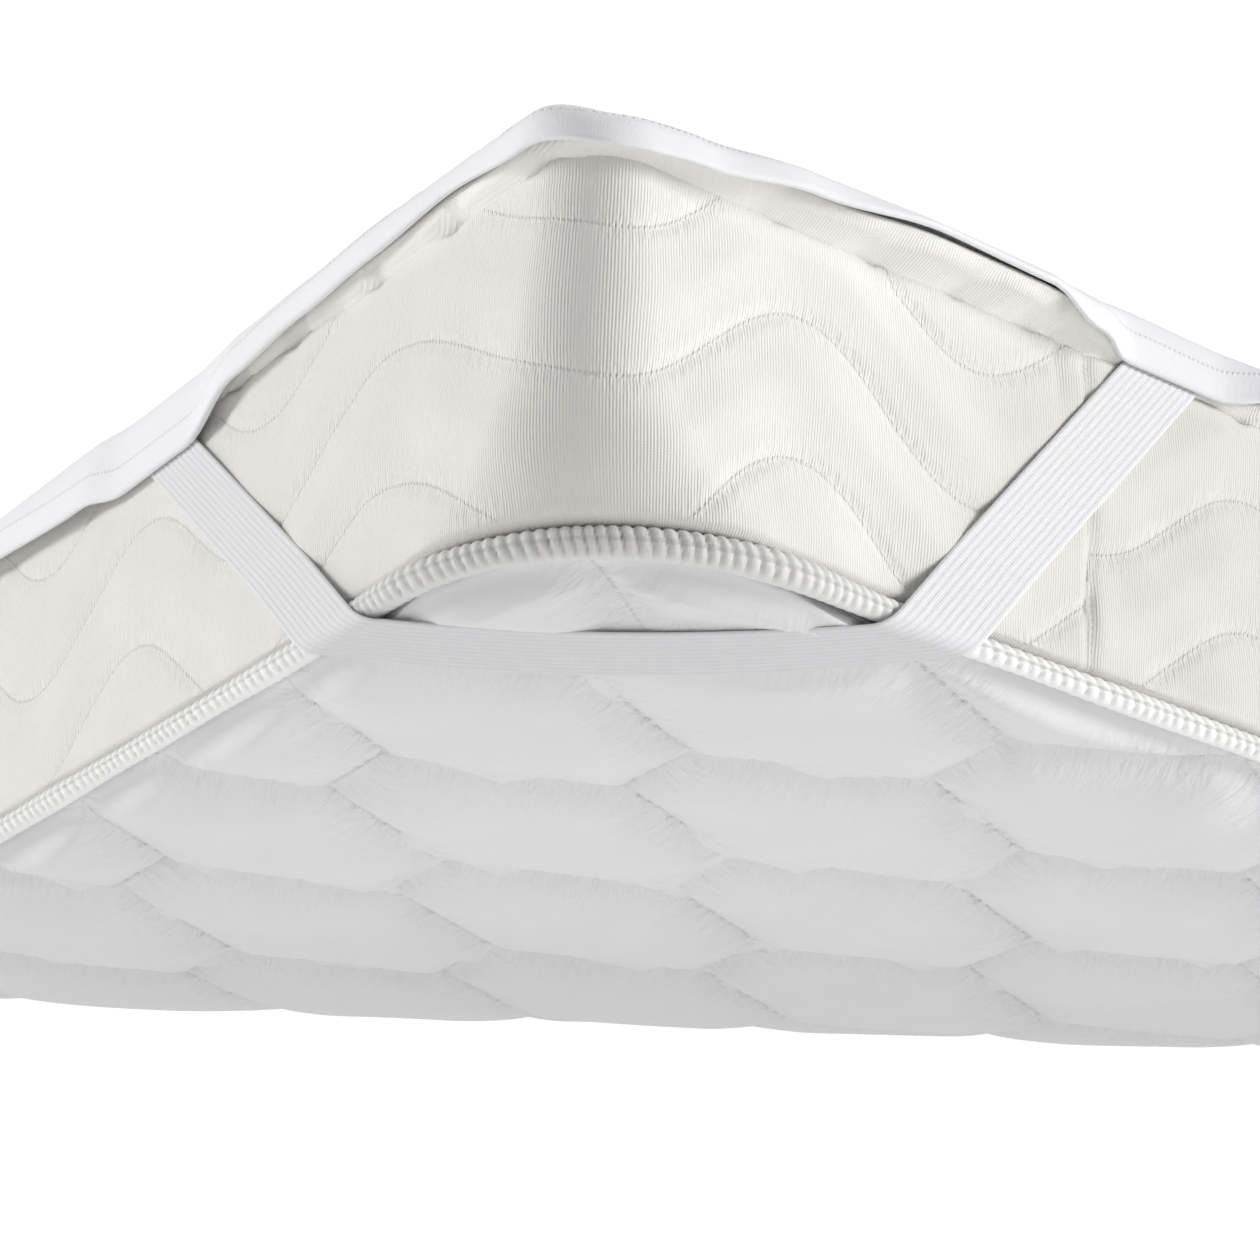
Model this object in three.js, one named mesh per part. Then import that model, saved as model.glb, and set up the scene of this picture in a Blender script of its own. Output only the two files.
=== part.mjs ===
// A mattress with one corner folded up off the floor, and a protector sheet held on it by a strap at
// each corner. Millimetres, +Z up. The shapes are made about the mattress's own middle, and the whole is
// then moved so that its origin is the middle of its outline, on the floor.
// The raised corner is at +X, -Y. Every shape is made flat first and then bent by the one fold.
import * as THREE from "three";

// Mattress
const WIDTH = 1500;
const LENGTH = 2000;
const THICKNESS = 205;
const CORNER_RADIUS = 40;
const UNDERSIDE_CORNER_RADIUS = 150;
const ROUNDED_CORNER_REACH = 193;
const PANEL_BULGE = 2;
const SHOULDER = 20;
const RIM_ROLL = 8;
const UNDERSIDE_EDGE_LIFT = 7.5;
const UNDERSIDE_LIFT_REACH = 200;
const UNDERSIDE_CORNER_LIFT = 8;
const UNDERSIDE_CORNER_REACH = 240;
const MATTRESS_CORE_INSET = 40;

// Fold: the raised corner turns about a line that runs slantwise across the mattress
const FOLD_FROM_CORNER = 774;
const FOLD_TURN = THREE.MathUtils.degToRad(53.2);
const FOLD_ANGLE = THREE.MathUtils.degToRad(25.25);
const FOLD_RADIUS = 260;
const FOLD_LENGTH = FOLD_RADIUS * FOLD_ANGLE;
const RAISED_NEAR = 650;
const RAISED_FAR = 950;

// Piping
const PIPING_RADIUS = 7.5;
const PIPING_OUT = -0.5;
const PIPING_UP = 4.5;
const SEAT_IN = 18;
const SEAT_UP = 16;
const PIPING_SIDES = 8;

// Sheet
const SHEET_THICKNESS = 2.4;
const HEM_THICKNESS = 2.9;
const SHEET_GAP = 0.5;
const SHEET_CORE_INSET = 30;
const EDGE_LOFT = 9;
const EDGE_LOFT_REACH = 45;
const RIDGE_HEIGHT = 22;
const RIDGE_WIDTH = 130;
const RIDGE_EDGE_SHARE = 0.45;
const RIDGE_EDGE_REACH = 170;
const BRIDGE_HEIGHT = 5;

// Straps
const STRAP_WIDTH = 38;
const STRAP_THICKNESS = 1.5;
const STRAP_UNDERSIDE = 3.2;
const STRAP_PANEL_OUT = 3.15;
const STRAP_PANEL_START = 62;
const STRAP_CROSSING = 197;
const BELLY_TILT = 0.6;

const clamp = THREE.MathUtils.clamp;
const smoothstep = THREE.MathUtils.smoothstep;
const lerp = THREE.MathUtils.lerp;

// Along and across are distances from the raised corner: along runs up +Y and across runs down -X.
const alongOf = (y) => y + LENGTH / 2;
const acrossOf = (x) => WIDTH / 2 - x;
const foldAlong = Math.cos(FOLD_TURN);
const foldAcross = Math.sin(FOLD_TURN);
const fromCorner = (x, y) => foldAlong * alongOf(y) + foldAcross * acrossOf(x);

// The fold keeps the length of the mattress's middle layer, so its underside stretches and its top shortens.
function bend(x, y, z) {
  const past = FOLD_FROM_CORNER - fromCorner(x, y);
  if (past <= 0) return [x, y, z];
  const turned = clamp(past / FOLD_RADIUS, 0, FOLD_ANGLE);
  const straight = Math.max(0, past - FOLD_LENGTH);
  const centre = FOLD_RADIUS + THICKNESS / 2;
  const reach = centre - z;
  const shift = past - (reach * Math.sin(turned) + straight * Math.cos(turned));
  const lift = centre - reach * Math.cos(turned) + straight * Math.sin(turned);
  return [x - foldAcross * shift, y + foldAlong * shift, lift];
}

// Distances to the nearer side edges, and to the nearest corner
const insetX = (x) => WIDTH / 2 - Math.abs(x);
const insetY = (y) => LENGTH / 2 - Math.abs(y);
const cornerDistance = (x, y) => Math.hypot(insetX(x), insetY(y));

function cornerLift(x, y) {
  const share = Math.min(1, cornerDistance(x, y) / UNDERSIDE_CORNER_REACH);
  return UNDERSIDE_CORNER_LIFT * (1 - share ** 2) ** 2;
}

const edgeLift = (x, y) => UNDERSIDE_EDGE_LIFT + cornerLift(x, y);

function undersideLift(x, y) {
  const ramp = (inset) => 1 - (1 - clamp(inset / UNDERSIDE_LIFT_REACH, 0, 1)) ** 2;
  return UNDERSIDE_EDGE_LIFT * (1 - ramp(insetX(x)) * ramp(insetY(y))) + cornerLift(x, y);
}

// 1 near the raised corner, falling to 0 where the mattress lies flat
function raisedShare(x, y) {
  return 1 - smoothstep(Math.hypot(alongOf(y), acrossOf(x)), RAISED_NEAR, RAISED_FAR);
}

// Even steps over the fold that put its bending lines on the grid's own diagonals, then coarse lines beyond
function foldSteps(inset, acrossStep, count) {
  const alongStep = (acrossStep * foldAcross) / foldAlong;
  const steps = (size) => Array.from({ length: count + 1 }, (_, i) => inset + i * size);
  return { along: steps(alongStep), across: steps(acrossStep) };
}

function gridLines(inset, acrossStep, count, alongRest, acrossRest) {
  const near = foldSteps(inset, acrossStep, count);
  const ys = [...near.along, ...alongRest].map((a) => a - LENGTH / 2);
  const xs = [...near.across, ...acrossRest].map((a) => WIDTH / 2 - a).reverse();
  return { xs, ys };
}

// A closed blanket-like solid: a low grid, rings of points out and round its edge, and a high grid.
// Rings are closed loops of equal length. Loop keys, rising round the outline, join a ring to a grid's
// border.
class Blanket {
  constructor(xs, ys) {
    this.xs = xs;
    this.ys = ys;
    this.points = [];
    this.triangles = [];
  }

  add(point) {
    this.points.push(point);
    return this.points.length - 1;
  }

  grid(place) {
    return this.xs.map((x, i) => this.ys.map((y, j) => this.add(place(x, y, i, j))));
  }

  face(a, b, c, up) {
    this.triangles.push(up ? [a, b, c] : [a, c, b]);
  }

  fillGrid(ids, up) {
    for (let i = 0; i + 1 < this.xs.length; i += 1) {
      for (let j = 0; j + 1 < this.ys.length; j += 1) {
        this.face(ids[i][j], ids[i + 1][j], ids[i + 1][j + 1], up);
        this.face(ids[i][j], ids[i + 1][j + 1], ids[i][j + 1], up);
      }
    }
  }

  // Border points of a grid, counterclockwise from the -X -Y corner
  border(ids) {
    const nx = this.xs.length - 1;
    const ny = this.ys.length - 1;
    const loop = [];
    for (let i = 0; i < nx; i += 1) loop.push([i, 0]);
    for (let j = 0; j < ny; j += 1) loop.push([nx, j]);
    for (let i = nx; i > 0; i -= 1) loop.push([i, ny]);
    for (let j = ny; j > 0; j -= 1) loop.push([0, j]);
    return loop.map(([i, j]) => ({ id: ids[i][j], key: outlineKey(this.xs[i], this.ys[j]) }));
  }

  // Joins two closed loops whose keys both rise round the outline; lower is the loop nearer the underside
  zip(lower, upper) {
    let a = 0;
    let b = 0;
    const keyAt = (loop, k) => loop[k % loop.length].key + Math.floor(k / loop.length) * OUTLINE;
    const idAt = (loop, k) => loop[k % loop.length].id;
    while (a < lower.length || b < upper.length) {
      const lowerNext = a < lower.length ? keyAt(lower, a + 1) : Infinity;
      const upperNext = b < upper.length ? keyAt(upper, b + 1) : Infinity;
      if (lowerNext <= upperNext) {
        this.triangles.push([idAt(lower, a), idAt(lower, a + 1), idAt(upper, b)]);
        a += 1;
      } else {
        this.triangles.push([idAt(lower, a), idAt(upper, b + 1), idAt(upper, b)]);
        b += 1;
      }
    }
  }

  geometry() {
    return bentGeometry(this.points, this.triangles);
  }
}

function bentGeometry(points, triangles) {
  const geometry = new THREE.BufferGeometry();
  const bent = points.flatMap(([x, y, z]) => bend(x, y, z));
  geometry.setAttribute("position", new THREE.Float32BufferAttribute(bent, 3));
  geometry.setIndex(triangles.flat());
  geometry.computeVertexNormals();
  return geometry;
}

// How far round the nominal rectangle a point's nearest place on it lies, counterclockwise from -X -Y
const OUTLINE = 2 * (WIDTH + LENGTH);

function outlineKey(x, y) {
  const west = x + WIDTH / 2;
  const south = y + LENGTH / 2;
  const east = WIDTH / 2 - x;
  const north = LENGTH / 2 - y;
  const nearest = Math.min(west, south, east, north);
  if (nearest === south && south < east) return west;
  if (nearest === east && east < north) return WIDTH + south;
  if (nearest === north && north < west) return WIDTH + LENGTH + east;
  if (nearest === west && west < south) return 2 * WIDTH + LENGTH + north;
  return west < east ? (south < north ? 0 : 2 * WIDTH + LENGTH) : south < north ? WIDTH : WIDTH + LENGTH;
}

// The four corners in loop order, with the direction in which the loop arrives at each and the side after it
const CORNERS = [
  { x: -1, y: -1, arrive: [0, -1], key: 0, side: WIDTH },
  { x: 1, y: -1, arrive: [1, 0], key: WIDTH, side: LENGTH },
  { x: 1, y: 1, arrive: [0, 1], key: WIDTH + LENGTH, side: WIDTH },
  { x: -1, y: 1, arrive: [-1, 0], key: 2 * WIDTH + LENGTH, side: LENGTH },
];

// A point of the rounded outline. distance runs along the outline from a corner's middle, negative
// before it, and is stretched so that every radius ends at the same place on the straight side.
function roundedPoint(corner, radius, distance) {
  const [dx, dy] = corner.arrive;
  const halfArc = (radius * Math.PI) / 4;
  const zone = ROUNDED_CORNER_REACH - radius + halfArc;
  const walked = distance * (zone / ROUNDED_CORNER_REACH);
  const turn = clamp(walked / radius, -Math.PI / 4, Math.PI / 4) + Math.PI / 4;
  const outX = dy * Math.cos(turn) + dx * Math.sin(turn);
  const outY = -dx * Math.cos(turn) + dy * Math.sin(turn);
  const run = Math.max(0, Math.abs(walked) - halfArc);
  const [wayX, wayY] = walked < 0 ? [-dx, -dy] : [-dy, dx];
  const x = corner.x * (WIDTH / 2 - radius) + radius * outX + wayX * run;
  const y = corner.y * (LENGTH / 2 - radius) + radius * outY + wayY * run;
  return { x, y, outX, outY };
}

// A point of a straight side, at a distance past its first corner
function sidePoint(corner, distance) {
  const [dx, dy] = corner.arrive;
  const x = corner.x * (WIDTH / 2) - dy * distance;
  const y = corner.y * (LENGTH / 2) + dx * distance;
  return { x, y, outX: dx, outY: dy };
}

// Stations round the whole outline. Each gives its key and its point for a corner radius.
function outlineStations(cornerDistances, sideDistances) {
  return CORNERS.flatMap((corner, k) => {
    const next = CORNERS[(k + 1) % CORNERS.length];
    const leaving = cornerDistances.map((d) => ({
      key: corner.key + d,
      at: (radius) => roundedPoint(corner, radius, d),
    }));
    const straight = sideDistances[k].map((d) => ({
      key: corner.key + d,
      at: () => sidePoint(corner, d),
    }));
    const arriving = cornerDistances
      .filter((d) => d > 0)
      .reverse()
      .map((d) => ({ key: corner.key + corner.side - d, at: (radius) => roundedPoint(next, radius, -d) }));
    return [...leaving, ...straight, ...arriving];
  });
}

// Distances in rising order, clear of the corner zones and of each other
function spaced(distances, side) {
  const kept = [];
  for (const d of [...distances].sort((p, q) => p - q)) {
    const first = d < ROUNDED_CORNER_REACH + 20;
    const last = d > side - ROUNDED_CORNER_REACH - 20;
    if (!first && !last && (!kept.length || d - kept[kept.length - 1] > 20)) kept.push(d);
  }
  return kept;
}

// Side stations of the four sides: fine where the fold crosses the two raised sides, coarse elsewhere
function sideStations(near, coarse, extra) {
  const even = (from, to) =>
    Array.from({ length: Math.ceil((to - from) / coarse) }, (_, i) => from + i * coarse);
  const both = (side) => extra.flatMap((d) => [d, side - d]);
  const plain = (side) => spaced([...both(side), ...even(ROUNDED_CORNER_REACH + coarse, side)], side);
  const raised = (lines, side) => spaced([...both(side), ...lines, ...even(lines.at(-1), side)], side);
  const across = raised(near.across, WIDTH).map((d) => WIDTH - d).reverse();
  return [across, raised(near.along, LENGTH), plain(WIDTH), plain(LENGTH)];
}

// Mattress
const MATTRESS_STEP = 54;
const MATTRESS_STEPS = 18;
const MATTRESS_CORNER_STATIONS = [0, 10.5, 21.5, 33, 58, 90, 125, 160, ROUNDED_CORNER_REACH];
const mattressNear = foldSteps(MATTRESS_CORE_INSET, MATTRESS_STEP, MATTRESS_STEPS);
const mattressStations = outlineStations(MATTRESS_CORNER_STATIONS, sideStations(mattressNear, 190, []));

// The underside's grid is drawn in near each corner to follow the rounded outline there
function drawnIn(x, y) {
  const zone = UNDERSIDE_CORNER_RADIUS + 50;
  const a = 1 - insetX(x) / zone;
  const b = 1 - insetY(y) / zone;
  if (a <= 0 || b <= 0) return [x, y];
  const newX = WIDTH / 2 - zone * (1 - a * Math.sqrt(1 - (b * b) / 2));
  const newY = LENGTH / 2 - zone * (1 - b * Math.sqrt(1 - (a * a) / 2));
  return [Math.sign(x) * newX, Math.sign(y) * newY];
}

// The levels of the side panel: offset outward, height and the corner radius there. roll is how far the top
// edge stands up, where the fold squeezes the top.
function panelLevels(lift, roll) {
  return [
    { radius: UNDERSIDE_CORNER_RADIUS, out: -SEAT_IN, z: lift },
    { radius: UNDERSIDE_CORNER_RADIUS, out: 0, z: lift + SEAT_UP },
    { radius: 68, out: PANEL_BULGE, z: 62 },
    { radius: 46, out: PANEL_BULGE, z: 112 },
    { radius: 42, out: PANEL_BULGE * 0.75, z: 155 },
    { radius: CORNER_RADIUS, out: 0, z: THICKNESS - SHOULDER + 1.5 * roll },
    { radius: CORNER_RADIUS, out: -0.3 * SHOULDER, z: THICKNESS - 0.3 * SHOULDER + 1.4 * roll },
    { radius: CORNER_RADIUS, out: -SHOULDER, z: THICKNESS + 0.5 * roll },
  ];
}

const outward = (at, out, z) => [at.x + at.outX * out, at.y + at.outY * out, z];

function liftAt(station) {
  const at = station.at(UNDERSIDE_CORNER_RADIUS);
  return edgeLift(at.x, at.y);
}

function mattressGeometry() {
  const far = { along: [1460, 1600, 1740, 1820, 1890, 1960], across: [1140, 1280, 1340, 1400, 1460] };
  const { xs, ys } = gridLines(MATTRESS_CORE_INSET, MATTRESS_STEP, MATTRESS_STEPS, far.along, far.across);
  const solid = new Blanket(xs, ys);
  const low = solid.grid((x, y) => [...drawnIn(x, y), undersideLift(x, y)]);
  const high = solid.grid((x, y) => [x, y, THICKNESS]);
  solid.fillGrid(low, false);
  solid.fillGrid(high, true);
  const levels = panelLevels(0, 0).length;
  const loops = Array.from({ length: levels }, (_, k) =>
    mattressStations.map((station) => {
      const edge = station.at(CORNER_RADIUS);
      const level = panelLevels(liftAt(station), RIM_ROLL * raisedShare(edge.x, edge.y))[k];
      return { key: station.key, id: solid.add(outward(station.at(level.radius), level.out, level.z)) };
    }),
  );
  const chain = [solid.border(low), ...loops, solid.border(high)];
  for (let k = 0; k + 1 < chain.length; k += 1) solid.zip(chain[k], chain[k + 1]);
  return solid.geometry();
}

// Piping: a ring of round section on the same stations as the mattress, seated on its chamfer
function pipingGeometry() {
  const points = [];
  const triangles = [];
  const count = mattressStations.length;
  mattressStations.forEach((station, m) => {
    const at = station.at(UNDERSIDE_CORNER_RADIUS);
    for (let k = 0; k < PIPING_SIDES; k += 1) {
      const turn = (2 * Math.PI * k) / PIPING_SIDES;
      const out = PIPING_OUT + PIPING_RADIUS * Math.cos(turn);
      points.push(outward(at, out, liftAt(station) + PIPING_UP + PIPING_RADIUS * Math.sin(turn)));
      const here = m * PIPING_SIDES;
      const there = ((m + 1) % count) * PIPING_SIDES;
      const upper = (k + 1) % PIPING_SIDES;
      triangles.push([here + k, there + k, there + upper], [here + k, there + upper, here + upper]);
    }
  });
  return bentGeometry(points, triangles);
}

// Sheet: the inner face's section past the mattress's side, as outward offset and height above its top.
// s runs along the two raised sides, negative across and positive along.
const PLAIN_EDGE = [[-18, 2.4], [-6, 1], [3, -4.5], [7.5, -12], [8.5, -21]];
const STRAP_EDGE = [[-18, 2.5], [-8, 2.4], [1.5, -0.5], [4.3, -7], [4.3, -19]];
const RAISED_REACH = 1030;
const RAISED_EDGES = [
  { s: -1000, edge: PLAIN_EDGE },
  { s: -850, edge: [[-18, 8], [-6, 11], [4, 6], [8, -2], [9, -12]] },
  { s: -620, edge: [[-18, 11], [-6, 19], [4, 18], [8.5, 5], [9, -13]] },
  { s: -480, edge: [[-18, 12], [-6, 21], [4, 19], [8.5, 2], [8.5, -20]] },
  { s: -440, edge: [[-18, 12], [-8, 21], [2, 17], [4.6, -5], [4.3, -26]] },
  { s: -365, edge: [[-18, 12], [-8, 22], [2, 18], [4.6, -4], [4.3, -25]] },
  { s: -310, edge: [[-18, 13], [-6, 23], [4, 22], [9, 10], [9, -6.5]] },
  { s: -240, edge: [[-18, 13], [-6, 23.5], [4, 24], [9.5, 13], [9.5, 0]] },
  { s: -170, edge: [[-18, 13], [-6, 24], [4, 25.5], [9.5, 18], [10.5, 6]] },
  { s: -100, edge: [[-18, 13], [-6, 21], [4, 22], [9, 17], [11, 11]] },
  { s: -30, edge: [[-18, 11], [-6, 19], [5, 20], [11, 13], [12.5, -2]] },
  { s: 15, edge: [[-18, 8], [-6, 11], [5, 11], [11.5, 4], [13.5, -9]] },
  { s: 60, edge: [[-18, 8], [-6, 12], [6, 14], [13, 7], [17, -6]] },
  { s: 120, edge: [[-18, 9], [-5, 14], [8, 18], [18, 13], [24, 0]] },
  { s: 195, edge: [[-18, 9], [-4, 14], [10, 15.5], [22, 12.5], [31, 5]] },
  { s: 265, edge: [[-18, 10], [-4, 14], [10, 15], [23, 11.5], [32, 2.5]] },
  { s: 310, edge: [[-18, 12], [-5, 19], [7, 21], [16, 14], [20, -3]] },
  { s: 342, edge: [[-18, 15], [-8, 26], [2, 27], [5.3, 11], [4.3, -3]] },
  { s: 406, edge: [[-18, 17], [-8, 28], [1, 27], [4.3, 13], [4.3, -3]] },
  { s: 455, edge: [[-18, 16], [-5, 26], [6, 25], [13, 18], [17, 6]] },
  { s: 620, edge: [[-18, 14], [-5, 23], [6, 21], [11, 12], [13, 0]] },
  { s: 850, edge: [[-18, 8], [-6, 11], [4, 6], [8, -2], [9, -12]] },
  { s: 1000, edge: PLAIN_EDGE },
];
const RESTING_EDGES = [
  { s: 300, edge: PLAIN_EDGE },
  { s: 350, edge: STRAP_EDGE },
  { s: 430, edge: STRAP_EDGE },
  { s: 490, edge: PLAIN_EDGE },
];

function edgeBetween(table, s) {
  const last = table.length - 1;
  if (s <= table[0].s) return table[0].edge;
  if (s >= table[last].s) return table[last].edge;
  const k = table.findIndex((entry) => entry.s > s);
  const share = smoothstep(s, table[k - 1].s, table[k].s);
  const { edge: before } = table[k - 1];
  const { edge: after } = table[k];
  return after.map((point, i) => point.map((value, j) => lerp(before[i][j], value, share)));
}

function edgeSection(at) {
  const along = alongOf(at.y);
  const across = acrossOf(at.x);
  const onRaisedSide = Math.min(along, across) < SHEET_CORE_INSET;
  const raised = onRaisedSide && Math.max(along, across) < RAISED_REACH;
  if (raised) return edgeBetween(RAISED_EDGES, along - across);
  return edgeBetween(RESTING_EDGES, Math.max(insetX(at.x), insetY(at.y)));
}

// The top's spare length stands in two soft ridges along the fold, and the sheet bridges the bend between
// them
function ridgeHeight(x, y) {
  const past = fromCorner(x, y) - (FOLD_FROM_CORNER - FOLD_LENGTH / 2);
  const bump = (centre, width) => Math.cos((Math.PI * clamp((past - centre) / width, -0.5, 0.5))) ** 2;
  const fromEdge = Math.min(insetX(x), insetY(y));
  const edgeShare = lerp(RIDGE_EDGE_SHARE, 1, smoothstep(fromEdge, 0, RIDGE_EDGE_REACH));
  const ridges = bump(-RIDGE_WIDTH / 2, RIDGE_WIDTH) + bump(RIDGE_WIDTH / 2, RIDGE_WIDTH);
  return RIDGE_HEIGHT * edgeShare * ridges + BRIDGE_HEIGHT * bump(0, 1.5 * RIDGE_WIDTH);
}

function sheetGap(x, y) {
  const fromEdge = Math.min(alongOf(y), acrossOf(x)) - SHEET_CORE_INSET;
  const loft = EDGE_LOFT * raisedShare(x, y) * Math.exp(-((fromEdge / EDGE_LOFT_REACH) ** 2));
  return SHEET_GAP + ridgeHeight(x, y) + loft;
}

const SHEET_STEP = 40.4;
const SHEET_STEPS = 24;
const SHEET_CORNER_STATIONS = [0, 12.2, 24.4, 50, 84, 135, ROUNDED_CORNER_REACH];
const sheetNear = foldSteps(SHEET_CORE_INSET, SHEET_STEP, SHEET_STEPS);
const sheetStations = outlineStations(SHEET_CORNER_STATIONS, sideStations(sheetNear, 170, [350, 390, 430]));

// Unit normals of the inner face, from its own triangles before bending
function faceNormals(points, triangles) {
  const flat = new THREE.BufferGeometry();
  flat.setAttribute("position", new THREE.Float32BufferAttribute(points.flat(), 3));
  flat.setIndex(triangles.flat());
  flat.computeVertexNormals();
  return flat.getAttribute("normal");
}

function sheetGeometry() {
  const far = { along: [1470, 1630, 1790, 1900, 1970], across: [1130, 1260, 1380, 1470] };
  const { xs, ys } = gridLines(SHEET_CORE_INSET, SHEET_STEP, SHEET_STEPS, far.along, far.across);
  const solid = new Blanket(xs, ys);
  const low = solid.grid((x, y) => [x, y, THICKNESS + sheetGap(x, y)]);
  solid.fillGrid(low, false);
  const rings = PLAIN_EDGE.length;
  const lowLoops = Array.from({ length: rings }, (_, k) =>
    sheetStations.map((station) => {
      const at = station.at(SHEET_CORE_INSET);
      const [out, height] = edgeSection(at)[k];
      const z = THICKNESS + height + ridgeHeight(at.x, at.y);
      return { key: station.key, id: solid.add(outward(at, out, z)) };
    }),
  );
  const lowChain = [solid.border(low), ...lowLoops];
  for (let k = 0; k + 1 < lowChain.length; k += 1) solid.zip(lowChain[k], lowChain[k + 1]);

  const normals = faceNormals(solid.points, solid.triangles);
  const raise = (id, thickness) => {
    const normal = [normals.getX(id), normals.getY(id), normals.getZ(id)];
    return solid.points[id].map((value, i) => value - normal[i] * thickness);
  };
  const high = solid.grid((x, y, i, j) => raise(low[i][j], SHEET_THICKNESS));
  solid.fillGrid(high, true);
  const highLoops = lowLoops.map((loop, k) => {
    const thickness = k + 2 < rings ? SHEET_THICKNESS : HEM_THICKNESS;
    return loop.map(({ key, id }) => ({ key, id: solid.add(raise(id, thickness)) }));
  });
  const highChain = [lowLoops.at(-1), ...highLoops.reverse(), solid.border(high)];
  for (let k = 0; k + 1 < highChain.length; k += 1) solid.zip(highChain[k], highChain[k + 1]);
  return solid.geometry();
}

// Straps. Each side of a strap crosses the mattress edge at a distance from the corner, climbs the
// panel at a slant (1 is 45 degrees) and ends inside the hem at a height. belly is how far the quilting
// pushes its middle out below the underside, more at its outer edge.
const RESTING_SIDE = { crossing: STRAP_CROSSING, slant: 1, top: THICKNESS - 7.5 };
const STRAPS = [
  {
    name: "strap_raised",
    corner: CORNERS[1],
    alongSide: { crossing: 205, slant: 0.8, top: THICKNESS + 6 },
    acrossSide: { crossing: 177, slant: 1.13, top: THICKNESS - 6 },
    belly: 8,
  },
  { name: "strap_foot", corner: CORNERS[0], alongSide: RESTING_SIDE, acrossSide: RESTING_SIDE, belly: 0 },
  { name: "strap_far", corner: CORNERS[2], alongSide: RESTING_SIDE, acrossSide: RESTING_SIDE, belly: 0 },
  { name: "strap_head", corner: CORNERS[3], alongSide: RESTING_SIDE, acrossSide: RESTING_SIDE, belly: 0 },
];

// The strap's middle section, as offset and height with a unit normal: round under the piping, then
// straight to the panel, then up it
const WRAP_UP = UNDERSIDE_EDGE_LIFT + PIPING_UP;
const WRAP_RADIUS = WRAP_UP - STRAP_UNDERSIDE;
const WRAP_TARGET = [STRAP_PANEL_OUT - PIPING_OUT, STRAP_PANEL_START - WRAP_UP];
const WRAP_REACH = Math.hypot(...WRAP_TARGET);
const WRAP_TURN = Math.atan2(WRAP_TARGET[1], WRAP_TARGET[0]) + Math.asin(WRAP_RADIUS / WRAP_REACH);
const WRAP_ARC = WRAP_RADIUS * WRAP_TURN;
const WRAP_LINE = Math.sqrt(WRAP_REACH ** 2 - WRAP_RADIUS ** 2);

function strapSection(walked) {
  if (walked >= WRAP_ARC + WRAP_LINE) {
    const z = STRAP_PANEL_START + walked - WRAP_ARC - WRAP_LINE;
    return { out: STRAP_PANEL_OUT, z, normal: [1, 0] };
  }
  const turn = Math.min(walked / WRAP_RADIUS, WRAP_TURN);
  const line = Math.max(0, walked - WRAP_ARC);
  const normal = [Math.sin(turn), -Math.cos(turn)];
  const out = PIPING_OUT + WRAP_RADIUS * normal[0] + line * Math.cos(turn);
  const z = WRAP_UP + WRAP_RADIUS * normal[1] + line * Math.sin(turn);
  return { out, z, normal };
}

// Rows of a strap's one side, from its crossing of the mattress edge up to its end in the hem
function strapRows(side) {
  const end = WRAP_ARC + WRAP_LINE + side.top - STRAP_PANEL_START;
  const walks = [0, 0.25, 0.5, 0.75, 1].map((share) => share * WRAP_ARC);
  return [...walks, WRAP_ARC + WRAP_LINE, end].map((walked) => ({ ...strapSection(walked), walked }));
}

function strapGeometry({ corner, alongSide, acrossSide, belly }) {
  const spread = [-1, 0, 1].map((share) => (share * STRAP_WIDTH) / 2);
  const edge = -PIPING_OUT;
  const wide = (b) => b * Math.SQRT2;
  const along = strapRows(alongSide).map((row) =>
    spread.map((b) => ({
      along: alongSide.crossing - edge + alongSide.slant * row.walked + wide(b),
      across: -row.out,
      z: row.z,
      push: [0, -row.normal[0], row.normal[1]],
    })),
  );
  const across = strapRows(acrossSide).map((row) =>
    spread.map((b) => ({
      along: -row.out,
      across: acrossSide.crossing - edge + acrossSide.slant * row.walked + wide(b),
      z: row.z,
      push: [-row.normal[0], 0, row.normal[1]],
    })),
  );
  const below = [-0.25, 0, 0.25].map((share) =>
    spread.map((b, k) => ({
      along: lerp(across[0][k].along, along[0][k].along, share + 0.5),
      across: lerp(across[0][k].across, along[0][k].across, share + 0.5),
      z: STRAP_UNDERSIDE - belly * (1 - 4 * share ** 2) * (1 + (BELLY_TILT * b) / STRAP_WIDTH),
      push: [0, 0, -1],
    })),
  );
  const rows = [...across.reverse(), ...below, ...along];
  const place = (point, share) => {
    const [pushAlong, pushAcross, pushUp] = point.push.map((v) => v * share * STRAP_THICKNESS);
    const x = corner.x * (WIDTH / 2 - point.across - pushAcross);
    const y = corner.y * (LENGTH / 2 - point.along - pushAlong);
    return [x, y, point.z + pushUp];
  };
  const layers = [-0.5, 0.5].map((share) => rows.map((row) => row.map((point) => place(point, share))));
  return ribbonGeometry(layers, corner.x * corner.y > 0);
}

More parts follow.
